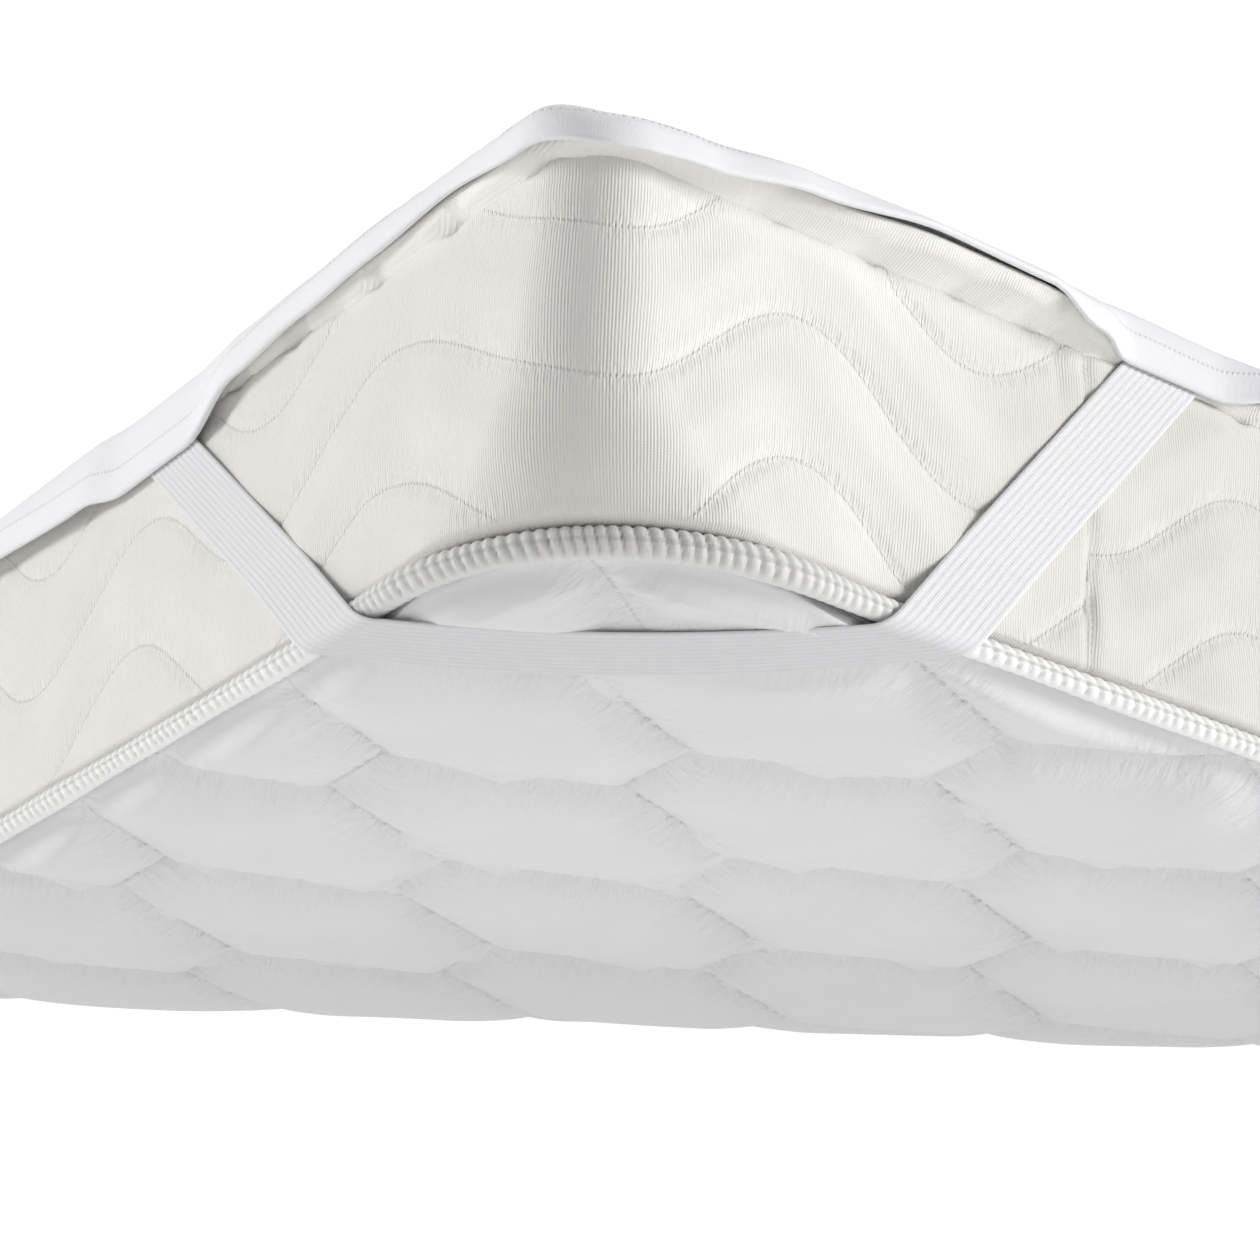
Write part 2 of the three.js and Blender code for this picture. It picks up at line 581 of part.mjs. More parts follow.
// A closed ribbon of two layers of rows; the first layer is the inner one
function ribbonGeometry(layers, asDrawn) {
  const rowCount = layers[0].length;
  const width = layers[0][0].length;
  const id = (layer, i, k) => (layer * rowCount + i) * width + k;
  const triangles = [];
  const quad = (a, b, c, d) => triangles.push([a, b, c], [a, c, d]);
  for (let i = 0; i + 1 < rowCount; i += 1) {
    for (let k = 0; k + 1 < width; k += 1) {
      quad(id(0, i, k), id(0, i, k + 1), id(0, i + 1, k + 1), id(0, i + 1, k));
      quad(id(1, i, k), id(1, i + 1, k), id(1, i + 1, k + 1), id(1, i, k + 1));
    }
    quad(id(0, i, 0), id(0, i + 1, 0), id(1, i + 1, 0), id(1, i, 0));
    quad(id(0, i, width - 1), id(1, i, width - 1), id(1, i + 1, width - 1), id(0, i + 1, width - 1));
  }
  for (let k = 0; k + 1 < width; k += 1) {
    const end = rowCount - 1;
    quad(id(0, 0, k), id(1, 0, k), id(1, 0, k + 1), id(0, 0, k + 1));
    quad(id(0, end, k), id(0, end, k + 1), id(1, end, k + 1), id(1, end, k));
  }
  const facing = asDrawn ? triangles : triangles.map(([a, b, c]) => [a, c, b]);
  return bentGeometry(layers.flat(2), facing);
}

// The object
const protector = new THREE.Group();

function addPiece(name, geometry, colour, roughness) {
  const material = new THREE.MeshStandardMaterial({ color: colour, roughness, metalness: 0 });
  const piece = new THREE.Mesh(geometry, material);
  piece.name = name;
  protector.add(piece);
}

addPiece("mattress", mattressGeometry(), "#f1efe8", 0.9);
addPiece("mattress_piping", pipingGeometry(), "#f4f3f1", 0.6);
addPiece("protector_sheet", sheetGeometry(), "#f3f3f7", 0.85);
for (const strap of STRAPS) addPiece(strap.name, strapGeometry(strap), "#f2f2f4", 0.7);

const middle = new THREE.Box3().setFromObject(protector).getCenter(new THREE.Vector3());
protector.position.set(-middle.x, -middle.y, 0);

export default protector;
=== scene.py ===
# The looks of a mattress with one corner folded up, and of the protector sheet strapped round it.
# Lengths are in millimetres until a mesh is made. Flat places are (along, across, up): along and across are
# measured from the raised corner down its two sides, and bend() then folds the corner up.
import math

import bpy
import numpy as np
from mathutils import Matrix, Vector


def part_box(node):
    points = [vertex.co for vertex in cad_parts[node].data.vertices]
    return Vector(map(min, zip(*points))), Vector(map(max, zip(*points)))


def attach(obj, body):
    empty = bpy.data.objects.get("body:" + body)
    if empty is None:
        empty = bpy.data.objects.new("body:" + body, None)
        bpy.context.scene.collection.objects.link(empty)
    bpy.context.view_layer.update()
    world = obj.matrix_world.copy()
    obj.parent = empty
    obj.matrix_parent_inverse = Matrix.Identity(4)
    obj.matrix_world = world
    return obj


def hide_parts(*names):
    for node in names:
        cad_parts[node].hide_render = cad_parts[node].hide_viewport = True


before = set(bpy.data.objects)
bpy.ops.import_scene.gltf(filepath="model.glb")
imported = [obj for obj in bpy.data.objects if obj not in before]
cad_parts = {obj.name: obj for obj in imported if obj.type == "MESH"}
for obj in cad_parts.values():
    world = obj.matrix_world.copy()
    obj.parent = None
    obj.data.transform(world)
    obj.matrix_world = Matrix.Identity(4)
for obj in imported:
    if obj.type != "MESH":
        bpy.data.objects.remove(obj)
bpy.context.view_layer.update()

MM = 0.001

# Mattress
WIDTH = 1500
LENGTH = 2000
THICKNESS = 205
UNDERSIDE_CORNER_RADIUS = 150
ROUNDED_CORNER_REACH = 193
PANEL_BULGE = 2
UNDERSIDE_EDGE_LIFT = 7.5
UNDERSIDE_LIFT_REACH = 200
UNDERSIDE_CORNER_LIFT = 8
UNDERSIDE_CORNER_REACH = 240
PERIMETER = 2 * (WIDTH + LENGTH)

# Fold
FOLD_FROM_CORNER = 774
FOLD_TURN = math.radians(53.2)
FOLD_ANGLE = math.radians(25.25)
FOLD_RADIUS = 260
FOLD_LENGTH = FOLD_RADIUS * FOLD_ANGLE
LIFT_REACH = 160
RAISED_NEAR = 650
RAISED_FAR = 950
FOLD_ALONG = math.cos(FOLD_TURN)
FOLD_ACROSS = math.sin(FOLD_TURN)

# Quilting of the underside: a net of six-sided cells set at 45 degrees to the mattress
CELL_ALONG = 160.2
CELL_DOWN = 147
CELL_START = (-299.6, 267.5)
CELL_BRANCH = (-42.2, 44.6)
CELL_HALF_WIDTH = 62
VALLEY_LIFT = 5
PUFF_FLOOR = 5.6
PUFF_RAISED = 18
UNDERSIDE_SEAT = 7
UNDERSIDE_VIEW = 800
UNDERSIDE_PAD = 3
UNDERSIDE_PAD_REACH = 15
PUCKER_PITCH = 11
PUCKER_REACH = 14
LINE_APART = 400
CLEAR_OF_OTHERS = (0.5, 7)
PRESS_GAP = 1.3
PRESS_FALL = 0.12
PRESS_SLACK = 3.5
PRESS_RISE = 0.4
DIAGONAL = math.sqrt(0.5)

# Wave stitching of the border
WAVE_RISE = 33
WAVE_MEANS = (-35.5, 42.5, 119.5, 196.5, 273.5)
WAVE_DEPTH = 1.1
LONG_SIDE_MORE = 0.7
WAVE_WIDTH = 3.6
BORDER_PUFF = 1.5
BORDER_SEAM = 318
BORDER_TOP = 203

# Sheet, hem and straps
SHEET_THICKNESS = 2.4
HEM_THICKNESS = 3.4
HEM_WIDTH = 20
SHEET_CORNER_RADIUS = 30
STRAP_WIDTH = 38
STRAP_THICKNESS = 1.5
STRAP_RIBS = 11
STRAP_RIB_DEPTH = 0.42
STRAP_EDGE_HALF = 0.2


def clamp(value, low, high):
    return np.minimum(np.maximum(value, low), high)


def smoothstep(value, low, high):
    share = clamp((value - low) / (high - low), 0, 1)
    return share * share * (3 - 2 * share)


def bump(value, centre, width):
    """A soft hump of height 1 and the given half width"""
    return np.exp(-(((value - centre) / width) ** 2))


def bend(points):
    """Folds flat points up with the raised corner"""
    along, across, up = points[..., 0], points[..., 1], points[..., 2]
    past = np.maximum(0, FOLD_FROM_CORNER - (FOLD_ALONG * along + FOLD_ACROSS * across))
    turned = clamp(past / FOLD_RADIUS, 0, FOLD_ANGLE)
    straight = np.maximum(0, past - FOLD_LENGTH)
    centre = FOLD_RADIUS + THICKNESS / 2
    reach = centre - up
    shift = past - (reach * np.sin(turned) + straight * np.cos(turned))
    lift = centre - reach * np.cos(turned) + straight * np.sin(turned)
    return np.stack([along + FOLD_ALONG * shift, across + FOLD_ACROSS * shift, lift], -1)


mattress_low, mattress_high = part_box("mattress")
SHIFT_X = mattress_low.x / MM + WIDTH / 2 + PANEL_BULGE
SHIFT_Y = mattress_high.y / MM - LENGTH / 2 - PANEL_BULGE


def placed(points):
    """Flat points as they lie in the frame, in metres"""
    bent = bend(points)
    x = WIDTH / 2 - bent[..., 1] + SHIFT_X
    y = bent[..., 0] - LENGTH / 2 + SHIFT_Y
    return np.stack([x, y, bent[..., 2]], -1) * MM


# Outline: distances round the mattress run from the raised corner, first down its long side
CORNERS = (
    {"at": 0, "place": (0, 0), "arrive": (0, -1), "leave": (1, 0)},
    {"at": LENGTH, "place": (LENGTH, 0), "arrive": (1, 0), "leave": (0, 1)},
    {"at": LENGTH + WIDTH, "place": (LENGTH, WIDTH), "arrive": (0, 1), "leave": (-1, 0)},
    {"at": PERIMETER - WIDTH, "place": (0, WIDTH), "arrive": (-1, 0), "leave": (0, -1)},
)


def outline(distance, radius):
    """Places and outward ways on the rounded outline, at distances from -WIDTH to PERIMETER - WIDTH"""
    distance, radius = np.broadcast_arrays(np.asarray(distance, float), np.asarray(radius, float))
    place = np.zeros(distance.shape + (2,))
    outward = np.zeros(distance.shape + (2,))
    for corner in CORNERS:
        start, leave = np.array(corner["place"], float), np.array(corner["leave"], float)
        past = distance - corner["at"]
        past = np.where(past < -ROUNDED_CORNER_REACH, past + PERIMETER, past)
        past = np.where(past >= PERIMETER - ROUNDED_CORNER_REACH, past - PERIMETER, past)
        side = (past >= 0) & (past <= (LENGTH if abs(leave[0]) else WIDTH))
        place[side] = (start + past[..., None] * leave)[side]
        outward[side] = (leave[1], -leave[0])
    for corner in CORNERS:
        start, arrive, leave = (np.array(corner[key], float) for key in ("place", "arrive", "leave"))
        past = distance - corner["at"]
        past = np.where(past < -PERIMETER / 2, past + PERIMETER, past)
        near = np.abs(past) < ROUNDED_CORNER_REACH
        half_arc = radius * math.pi / 4
        walked = past * (ROUNDED_CORNER_REACH - radius + half_arc) / ROUNDED_CORNER_REACH
        turn = clamp(walked / np.maximum(radius, 1e-6), -math.pi / 4, math.pi / 4) + math.pi / 4
        run = np.maximum(0, np.abs(walked) - half_arc)
        before = np.array([arrive[1], -arrive[0]])
        out = before * np.cos(turn)[..., None] + arrive * np.sin(turn)[..., None]
        way = np.where((walked < 0)[..., None], -arrive, leave)
        middle = start + radius[..., None] * (leave - arrive)
        found = middle + radius[..., None] * out + run[..., None] * way
        place[near] = found[near]
        outward[near] = out[near]
    return place, outward


def inset(value, size):
    return np.minimum(value, size - value)


def insets(along, across):
    """How far places lie inside the mattress's ends, and how far inside its sides"""
    return inset(along, LENGTH), inset(across, WIDTH)


def from_outline(along, across, radius):
    """How far inside the outline a place lies, where the outline has corners of a radius"""
    past_along, past_across = radius - inset(along, LENGTH), radius - inset(across, WIDTH)
    in_corner = (past_along > 0) & (past_across > 0)
    straight = np.minimum(*insets(along, across))
    return np.where(in_corner, radius - np.hypot(past_along, past_across), straight)


def corner_lift(along, across):
    distance = np.hypot(*insets(along, across))
    share = np.minimum(1, distance / UNDERSIDE_CORNER_REACH)
    return UNDERSIDE_CORNER_LIFT * (1 - share**2) ** 2


def underside_lift(along, across):
    def ramp(value):
        return 1 - (1 - clamp(value / UNDERSIDE_LIFT_REACH, 0, 1)) ** 2

    level = ramp(inset(along, LENGTH)) * ramp(inset(across, WIDTH))
    return UNDERSIDE_EDGE_LIFT * (1 - level) + corner_lift(along, across)


def edge_lift(distance):
    place, _ = outline(distance, UNDERSIDE_CORNER_RADIUS)
    return UNDERSIDE_EDGE_LIFT + corner_lift(place[..., 0], place[..., 1])


def raised_share(along, across):
    """1 where the corner is off the floor, 0 where the mattress lies on it"""
    past = FOLD_FROM_CORNER - (FOLD_ALONG * along + FOLD_ACROSS * across)
    return smoothstep(past, 0, LIFT_REACH)


def near_corner(along, across):
    """1 near the raised corner, falling to 0 where the mattress lies flat"""
    return 1 - smoothstep(np.hypot(along, across), RAISED_NEAR, RAISED_FAR)


# Meshes
FINE_FROM = -620
FINE_TO = 560
NO_STITCH = 90


def linked(name, data):
    """An object of the scene, made of its data"""
    made = bpy.data.objects.new(name, data)
    bpy.context.scene.collection.objects.link(made)
    return made


def mesh_piece(name, points, faces, marks, material):
    """Makes a smooth piece of flat points. marks gives each face corner its place on the cloth."""
    mesh = bpy.data.meshes.new(name)
    mesh.from_pydata(placed(points).tolist(), [], faces)
    for label, values in marks.items():
        layer = mesh.attributes.new(label, "FLOAT_VECTOR", "CORNER")
        layer.data.foreach_set("vector", np.asarray(values, np.float32).ravel())
    mesh.shade_smooth()
    mesh.materials.append(material)
    piece = linked(name, mesh)
    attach(piece, "root")
    return piece


def ring_piece(name, points, marks, material):
    """A piece whose points[i, k] go round the outline by i and round a closed section by k"""
    rows, columns = points.shape[:2]
    i, k = (grid.ravel() for grid in np.meshgrid(np.arange(rows), np.arange(columns), indexing="ij"))

    def corner(i, k):
        return (i % rows) * columns + k % columns

    def mark(values, i, k):
        found = values[i % rows, k % columns].copy()
        found[:, 0] += np.where(i >= rows, PERIMETER, 0)
        return found

    round_face = ((i, k), (i + 1, k), (i + 1, k + 1), (i, k + 1))
    faces = np.stack([corner(*place) for place in round_face], 1)
    loops = {
        label: np.stack([mark(values, *place) for place in round_face], 1) for label, values in marks.items()
    }
    if "stitch" in loops:
        loops["stitch"] = without_jumps(loops["stitch"])
    return mesh_piece(name, points.reshape(-1, 3), faces.tolist(), loops, material)


def border_loop(rows, columns):
    """Index pairs round a grid's border, the way that the outline goes. Rows run along and columns across."""
    loop = [(i, 0) for i in range(rows - 1)]
    loop += [(rows - 1, j) for j in range(columns - 1)]
    loop += [(i, columns - 1) for i in range(rows - 1, 0, -1)]
    loop += [(0, j) for j in range(columns - 1, 0, -1)]
    return np.array(loop)


def grid_faces(rows, columns, upward):
    i, j = (grid.ravel() for grid in np.meshgrid(np.arange(rows - 1), np.arange(columns - 1), indexing="ij"))
    corner = i * columns + j
    faces = np.stack([corner, corner + columns, corner + columns + 1, corner + 1], 1)
    return faces if upward else faces[:, ::-1]


def lines(*spans):
    """Grid lines from spans of (start, end, step), each even within itself"""
    parts = []
    for start, end, step in spans:
        count = max(1, round((end - start) / step))
        parts.append(np.linspace(start, end, count + 1)[:-1])
    return np.concatenate([*parts, [spans[-1][1]]])


def band(lower, upper):
    """Faces between two closed rows of points"""
    return np.stack([lower, np.roll(lower, -1), np.roll(upper, -1), upper], 1)


def way_out(edge, core):
    """The way out at places on a border that rounds its corners about points core inside the mattress"""
    inner = np.stack([clamp(edge[:, 0], core, LENGTH - core), clamp(edge[:, 1], core, WIDTH - core)], -1)
    away = edge - inner
    return away / np.linalg.norm(away, axis=1)[:, None]


def stations(fine, coarse):
    """Distances round the outline, a fine step apart round the raised corner and a coarse one elsewhere"""
    rest = (FINE_TO, PERIMETER - WIDTH, coarse)
    return lines((-WIDTH, FINE_FROM, coarse), (FINE_FROM, FINE_TO, fine), rest)[:-1]


def rounded_grid(alongs, acrosses, margin, zone):
    """A grid over the mattress whose corners are drawn in to round ones. margin is how far its border lies
    inside the mattress's own, and zone is the radius of its corners."""
    along, across = np.meshgrid(alongs, acrosses, indexing="ij")
    a = 1 - (inset(along, LENGTH) - margin) / zone
    b = 1 - (inset(across, WIDTH) - margin) / zone
    both = (a > 0) & (b > 0)
    new_along = margin + zone * (1 - a * np.sqrt(np.maximum(0, 1 - b * b / 2)))
    new_across = margin + zone * (1 - b * np.sqrt(np.maximum(0, 1 - a * a / 2)))
    far_along, far_across = along > LENGTH / 2, across > WIDTH / 2
    along = np.where(both, np.where(far_along, LENGTH - new_along, new_along), along)
    across = np.where(both, np.where(far_across, WIDTH - new_across, new_across), across)
    return along, across


# Quilting of the underside
def quilt_marks(along, across):
    """For each place, the distance along the nearest stitch line of the net, the signed distance from it, and
    1 where that line is clearly the nearest, falling to 0 where another is as near"""
    t = (along - across) * DIAGONAL
    q = (along + across) * DIAGONAL
    column = np.round((t - CELL_START[0]) / CELL_ALONG)
    row = np.round((q - CELL_START[1]) / CELL_DOWN)
    nearest = np.full(t.shape, 1e9)
    second = np.full(t.shape, 1e9)
    side = np.zeros(t.shape)
    walked = np.zeros(t.shape)
    branch_t, branch_q = CELL_BRANCH
    ends = (CELL_BRANCH, (branch_t + CELL_ALONG, branch_q), (branch_t, branch_q - CELL_DOWN))
    for down in (-1, 0, 1):
        for over in (-1, 0, 1):
            start_t = CELL_START[0] + CELL_ALONG * (column + over)
            start_q = CELL_START[1] + CELL_DOWN * (row + down)
            for number, (end_t, end_q) in enumerate(ends):
                size = math.hypot(end_t, end_q)
                unit_t, unit_q = end_t / size, end_q / size
                along_line = (t - start_t) * unit_t + (q - start_q) * unit_q
                off_line = (t - start_t) * -unit_q + (q - start_q) * unit_t
                beyond = along_line - clamp(along_line, 0, size)
                distance = np.hypot(off_line, beyond)
                closer = distance < nearest
                second = np.where(closer, nearest, np.minimum(second, distance))
                nearest = np.where(closer, distance, nearest)
                side = np.where(closer, np.where(off_line < 0, -1, 1), side)
                place = start_t * 1.7 + start_q * 2.3 + number * LINE_APART + along_line
                walked = np.where(closer, place, walked)
    return walked, side * nearest, smoothstep(second - nearest, *CLEAR_OF_OTHERS)


def pillow(distance, half_width):
    """How far a quilted cell has puffed, from 0 at its stitching to 1 at its middle"""
    share = clamp(np.abs(distance) / half_width, 0, 1)
    return np.sqrt(1 - (1 - share) ** 2.2)


def waves(values, seed, count, shortest, longest):
    """A gentle sum of plane waves over (along, across), for unevenness that each run makes alike"""
    chance = np.random.default_rng(seed)
    total = np.zeros(values[0].shape)
    for _ in range(count):
        length = chance.uniform(shortest, longest)
        turn = chance.uniform(0, 2 * math.pi)
        phase = chance.uniform(0, 2 * math.pi)
        walked = values[0] * math.cos(turn) + values[1] * math.sin(turn)
        total += np.sin(2 * math.pi * walked / length + phase)
    return total / math.sqrt(count)


def capped(front, every, depth, upward):
    """Closes a grid with a coarser one, depth higher, that keeps every so many of its lines"""
    rows, columns = front.shape[:2]
    keep_rows = np.unique(np.append(np.arange(0, rows, every), rows - 1))
    keep_columns = np.unique(np.append(np.arange(0, columns, every), columns - 1))
    back = front[np.ix_(keep_rows, keep_columns)].copy()
    back[..., 2] += depth
    first_back = rows * columns
    faces = grid_faces(rows, columns, upward).tolist()
    faces += (grid_faces(len(keep_rows), len(keep_columns), not upward) + first_back).tolist()
    fine = [i * columns + j for i, j in border_loop(rows, columns)]
    coarse_pairs = border_loop(len(keep_rows), len(keep_columns))
    coarse = [first_back + i * len(keep_columns) + j for i, j in coarse_pairs]
    starts = [fine.index(keep_rows[i] * columns + keep_columns[j]) for i, j in coarse_pairs]
    for number, start in enumerate(starts):
        following = (number + 1) % len(starts)
        end = starts[following] if following else len(fine)
        here, there = coarse[number], coarse[following]
        fan = [[fine[k % len(fine)], fine[(k + 1) % len(fine)], here] for k in range(start, end)]
        fan.append([fine[end % len(fine)], there, here])
        faces += [face if not upward else face[::-1] for face in fan]
    return np.concatenate([front.reshape(-1, 3), back.reshape(-1, 3)]), faces


def corner_values(values, faces):
    """Values of points, given again for each corner of each face"""
    return np.concatenate([values[face] for face in faces])


LARGEST_JUMP = 30


def without_jumps(corners):
    """Marks of four-cornered faces, where a face that would cross from the marks of one stitch line to those
    of another keeps to one side of both"""
    jumps = np.ptp(corners[..., 1], axis=1) > LARGEST_JUMP
    corners[jumps, :, 1] = np.abs(corners[jumps, :, 1])
    jumps = np.ptp(corners[..., 0], axis=1) > LARGEST_JUMP
    corners[jumps, :, 0] = corners[jumps, :1, 0]
    return corners


def strap_press(along, across):
    """The lowest and the highest that the quilting hangs by the raised strap, which lies against it"""
    made = STRAPS[0]
    along_end, across_end = made["along_side"]["crossing"], made["across_side"]["crossing"]
    off = along * across_end + across * along_end - along_end * across_end
    off = off / math.hypot(along_end, across_end)
    share = clamp(along / along_end, 0, 1)
    past = np.maximum(0, np.abs(off) - STRAP_WIDTH / 2 + 1)
    level = STRAP_UNDERSIDE + PRESS_GAP - 4 * made["belly"] * share * (1 - share)
    return level - PRESS_FALL * past**1.5, level + PRESS_SLACK + PRESS_RISE * past


def quilted_underside(material):
    seat, view = UNDERSIDE_SEAT, UNDERSIDE_VIEW
    alongs, acrosses = (lines((seat, view, 4.4), (view, size - seat, 15)) for size in (LENGTH, WIDTH))
    along, across = rounded_grid(alongs, acrosses, seat, UNDERSIDE_CORNER_RADIUS - seat)
    walked, off, clear = quilt_marks(along, across)
    raised = raised_share(along, across)
    edge = from_outline(along, across, UNDERSIDE_CORNER_RADIUS) - seat
    hold = smoothstep(edge, 0, UNDERSIDE_PAD_REACH)
    puffed = pillow(off, CELL_HALF_WIDTH)
    depth = PUFF_FLOOR + (PUFF_RAISED - PUFF_FLOOR) * raised
    up = underside_lift(along, across) + UNDERSIDE_PAD * (1 - hold) + hold * (VALLEY_LIFT - depth * puffed)
    up += hold * raised * 0.9 * waves((along, across), 4, 6, 60, 140) * puffed
    pucker = np.sin(2 * math.pi * walked / PUCKER_PITCH + 2.2 * np.sin(walked / 17))
    pucker = np.exp(-np.abs(off) / PUCKER_REACH) * pucker
    up += hold * clear * (0.45 + 0.5 * raised) * pucker * smoothstep(np.abs(off), 0, 5)
    lowest, highest = strap_press(along, across)
    up = np.where(raised < 0.02, np.maximum(up, 0.15), np.maximum(np.minimum(up, highest), lowest))
    front = np.stack([along, across, up], -1)
    points, faces = capped(front, 9, 6, False)
    marks = np.zeros((len(points), 3))
    marks[: walked.size] = np.stack([walked, off, clear], -1).reshape(-1, 3)
    quads = (along.shape[0] - 1) * (along.shape[1] - 1)
    stitch = corner_values(marks, faces)
    stitch[: 4 * quads] = without_jumps(stitch[: 4 * quads].reshape(-1, 4, 3)).reshape(-1, 3)
    layers = {"stitch": stitch, "cloth": corner_values(points * (1, 1, 0), faces)}
    return mesh_piece("mattress_underside", points, faces, layers, material)


# Border of the mattress
RIGHT_PHASE = (
    (-3500, -29.4), (-412, -4), (-288, -3), (-163, -2), (16, -1), (130, 0), (243, 1), (BORDER_SEAM, 1.65),
)
BEYOND_PHASE = ((BORDER_SEAM, -1), (436, 0), (5500, 43))
SECTION_WINDOW = (-18, -12, -6, 0, 6, 12, 18)
BORDER_HEIGHTS = (16, 40, 62, 112, 155, 190, BORDER_TOP)
BORDER_RADII = (150, 102, 66, 46, 42, 40, 40)
BORDER_OUTS = (0, PANEL_BULGE, PANEL_BULGE, PANEL_BULGE, 1.5, 1, 0)
SLITS = (-319, -258, -179, -105, -31, 110, 173, 226, 276, 352, 430, 512)
SLIT_WIDTH = 9
SEAM_GROOVE = 1.9
SEAM_WIDTH = 2.2


def wave_heights(distance):
    """The half waves walked at a distance round the border. Even ones are crests."""
    before = np.interp(distance, *zip(*RIGHT_PHASE))
    after = np.interp(distance, *zip(*BEYOND_PHASE))
    return WAVE_RISE * np.cos(math.pi * np.where(distance < BORDER_SEAM, before, after))


def wave_marks(distance, up):
    rise = wave_heights(distance)
    slope = (wave_heights(distance + 1) - wave_heights(distance - 1)) / 2
    slope = clamp(slope, -1, 1)
    off = np.full(up.shape, 1e9)
    for mean in WAVE_MEANS:
        here = (up - mean - rise) / np.sqrt(1 + slope**2)
        off = np.where(np.abs(here) < np.abs(off), here, off)
    return off


def section_at(up, values_at):
    """A value of the border's section by height, eased over a soft window"""
    total = 0
    for offset in SECTION_WINDOW:
        height = clamp(up + offset, BORDER_HEIGHTS[0], BORDER_TOP)
        total = total + np.interp(height, BORDER_HEIGHTS, values_at)
    return total / len(SECTION_WINDOW)


def border_lip(distance):
    """How far the top of the border hangs open below its seam, where the gathers gape"""
    gape = sum(bump(distance, slit, SLIT_WIDTH) for slit in SLITS)
    return gape + 0.12 * np.sin(distance / 9) + 0.1 * np.sin(distance / 23 + 1)


def mattress_border(material):
    distance = stations(3.2, 12)
    lift = edge_lift(distance)
    share = np.linspace(0, 1, 58)
    low, high = lift + 15, BORDER_TOP - 1 - 4 * border_lip(distance)
    up = low[:, None] + (high - low)[:, None] * share
    wide = np.repeat(distance[:, None], len(share), 1)
    radius = section_at(up, BORDER_RADII)
    out = section_at(up, BORDER_OUTS)
    off = wave_marks(wide, up)
    valley = np.exp(-((off / WAVE_WIDTH) ** 2))
    between = 1 - np.exp(-((off / 24) ** 2))
    fade = smoothstep(up, low[:, None], low[:, None] + 12)
    fade = fade * (1 - smoothstep(up, BORDER_TOP - 14, BORDER_TOP - 3))
    strength = 1 + LONG_SIDE_MORE * smoothstep(wide, -30, 70)
    out = out + fade * strength * (BORDER_PUFF * (between - 0.6) - WAVE_DEPTH * valley)
    out = out + 0.5 * waves((wide, up), 11, 7, 50, 160)
    out = out - SEAM_GROOVE * bump(wide, BORDER_SEAM, SEAM_WIDTH) + 0.5 * bump(wide, BORDER_SEAM + 8, 7)
    out = out - 1.4 * bump(wide, BORDER_SEAM - 19, 2.4) * smoothstep(up, 150, 185)
    out = out - 0.5 * (bump(up, BORDER_TOP - 10, 1.6) + bump(up, BORDER_TOP - 13.5, 1.6))
    place, outward = outline(wide, radius)
    flat = place + outward * out[..., None]
    front = np.concatenate([flat, up[..., None]], -1)
    ends = []
    back = ((-1.8, high + 0.4), (-5, high - 2.5), (-16, high - 8), (-16, low), (-9, low - 3))
    for back_out, back_up in back:
        spot, away = outline(distance, np.where(back_up > 100, 40.0, 145.0))
        ends.append(np.concatenate([spot + away * back_out, back_up[:, None]], -1))
    points = np.concatenate([front, np.stack(ends, 1)], 1)
    cloth, stitch = np.zeros(points.shape), np.zeros(points.shape)
    cloth[..., 0] = distance[:, None]
    cloth[..., 1] = points[..., 2]
    stitch[..., 0] = distance[:, None] * 1.15
    stitch[:, : len(share), 1] = off
    stitch[:, len(share) :, 1] = NO_STITCH
    # The third stitch mark is the distance past the side seam: it places the seam's thread and the painted
    # shade of the knit beyond it
    stitch[..., 2] = np.where(distance < BORDER_SEAM + 40, distance - BORDER_SEAM, 40)[:, None]
    marks = {"cloth": cloth, "stitch": stitch}
    return ring_piece("mattress_border", points, marks, material)


# Roll along the top's edge, squeezed up by the fold: step out, height, and how much of the roll it rises by
TOP_SEAT = 6
TOP_CORNER_RADIUS = 34
TOP_SKIRT = 22
RIM_ROLL = 9
TALL_ROLL_MORE = 9
SLIT_DEPTH = 8
ROLL_SPARE = -4
ROLL_FOLLOWS = (0.9, 1, 1, 0.8, 0)
ROLL_STEPS = ((4.4, -0.1, 0.93), (7.2, -0.5, 0.68), (7.8, -1.4, 0.33), (7, -3.2, 0.06), (3, -6.5, 0))


def roll_profile(edge):
    """The roll's height over the top, by distance in from its edge"""
    brow = 0.92 + 0.08 * np.sin(np.pi / 2 * clamp(edge / 4, 0, 1))
    return np.where(edge < 4, brow, 1 - smoothstep(edge, 4, 24))


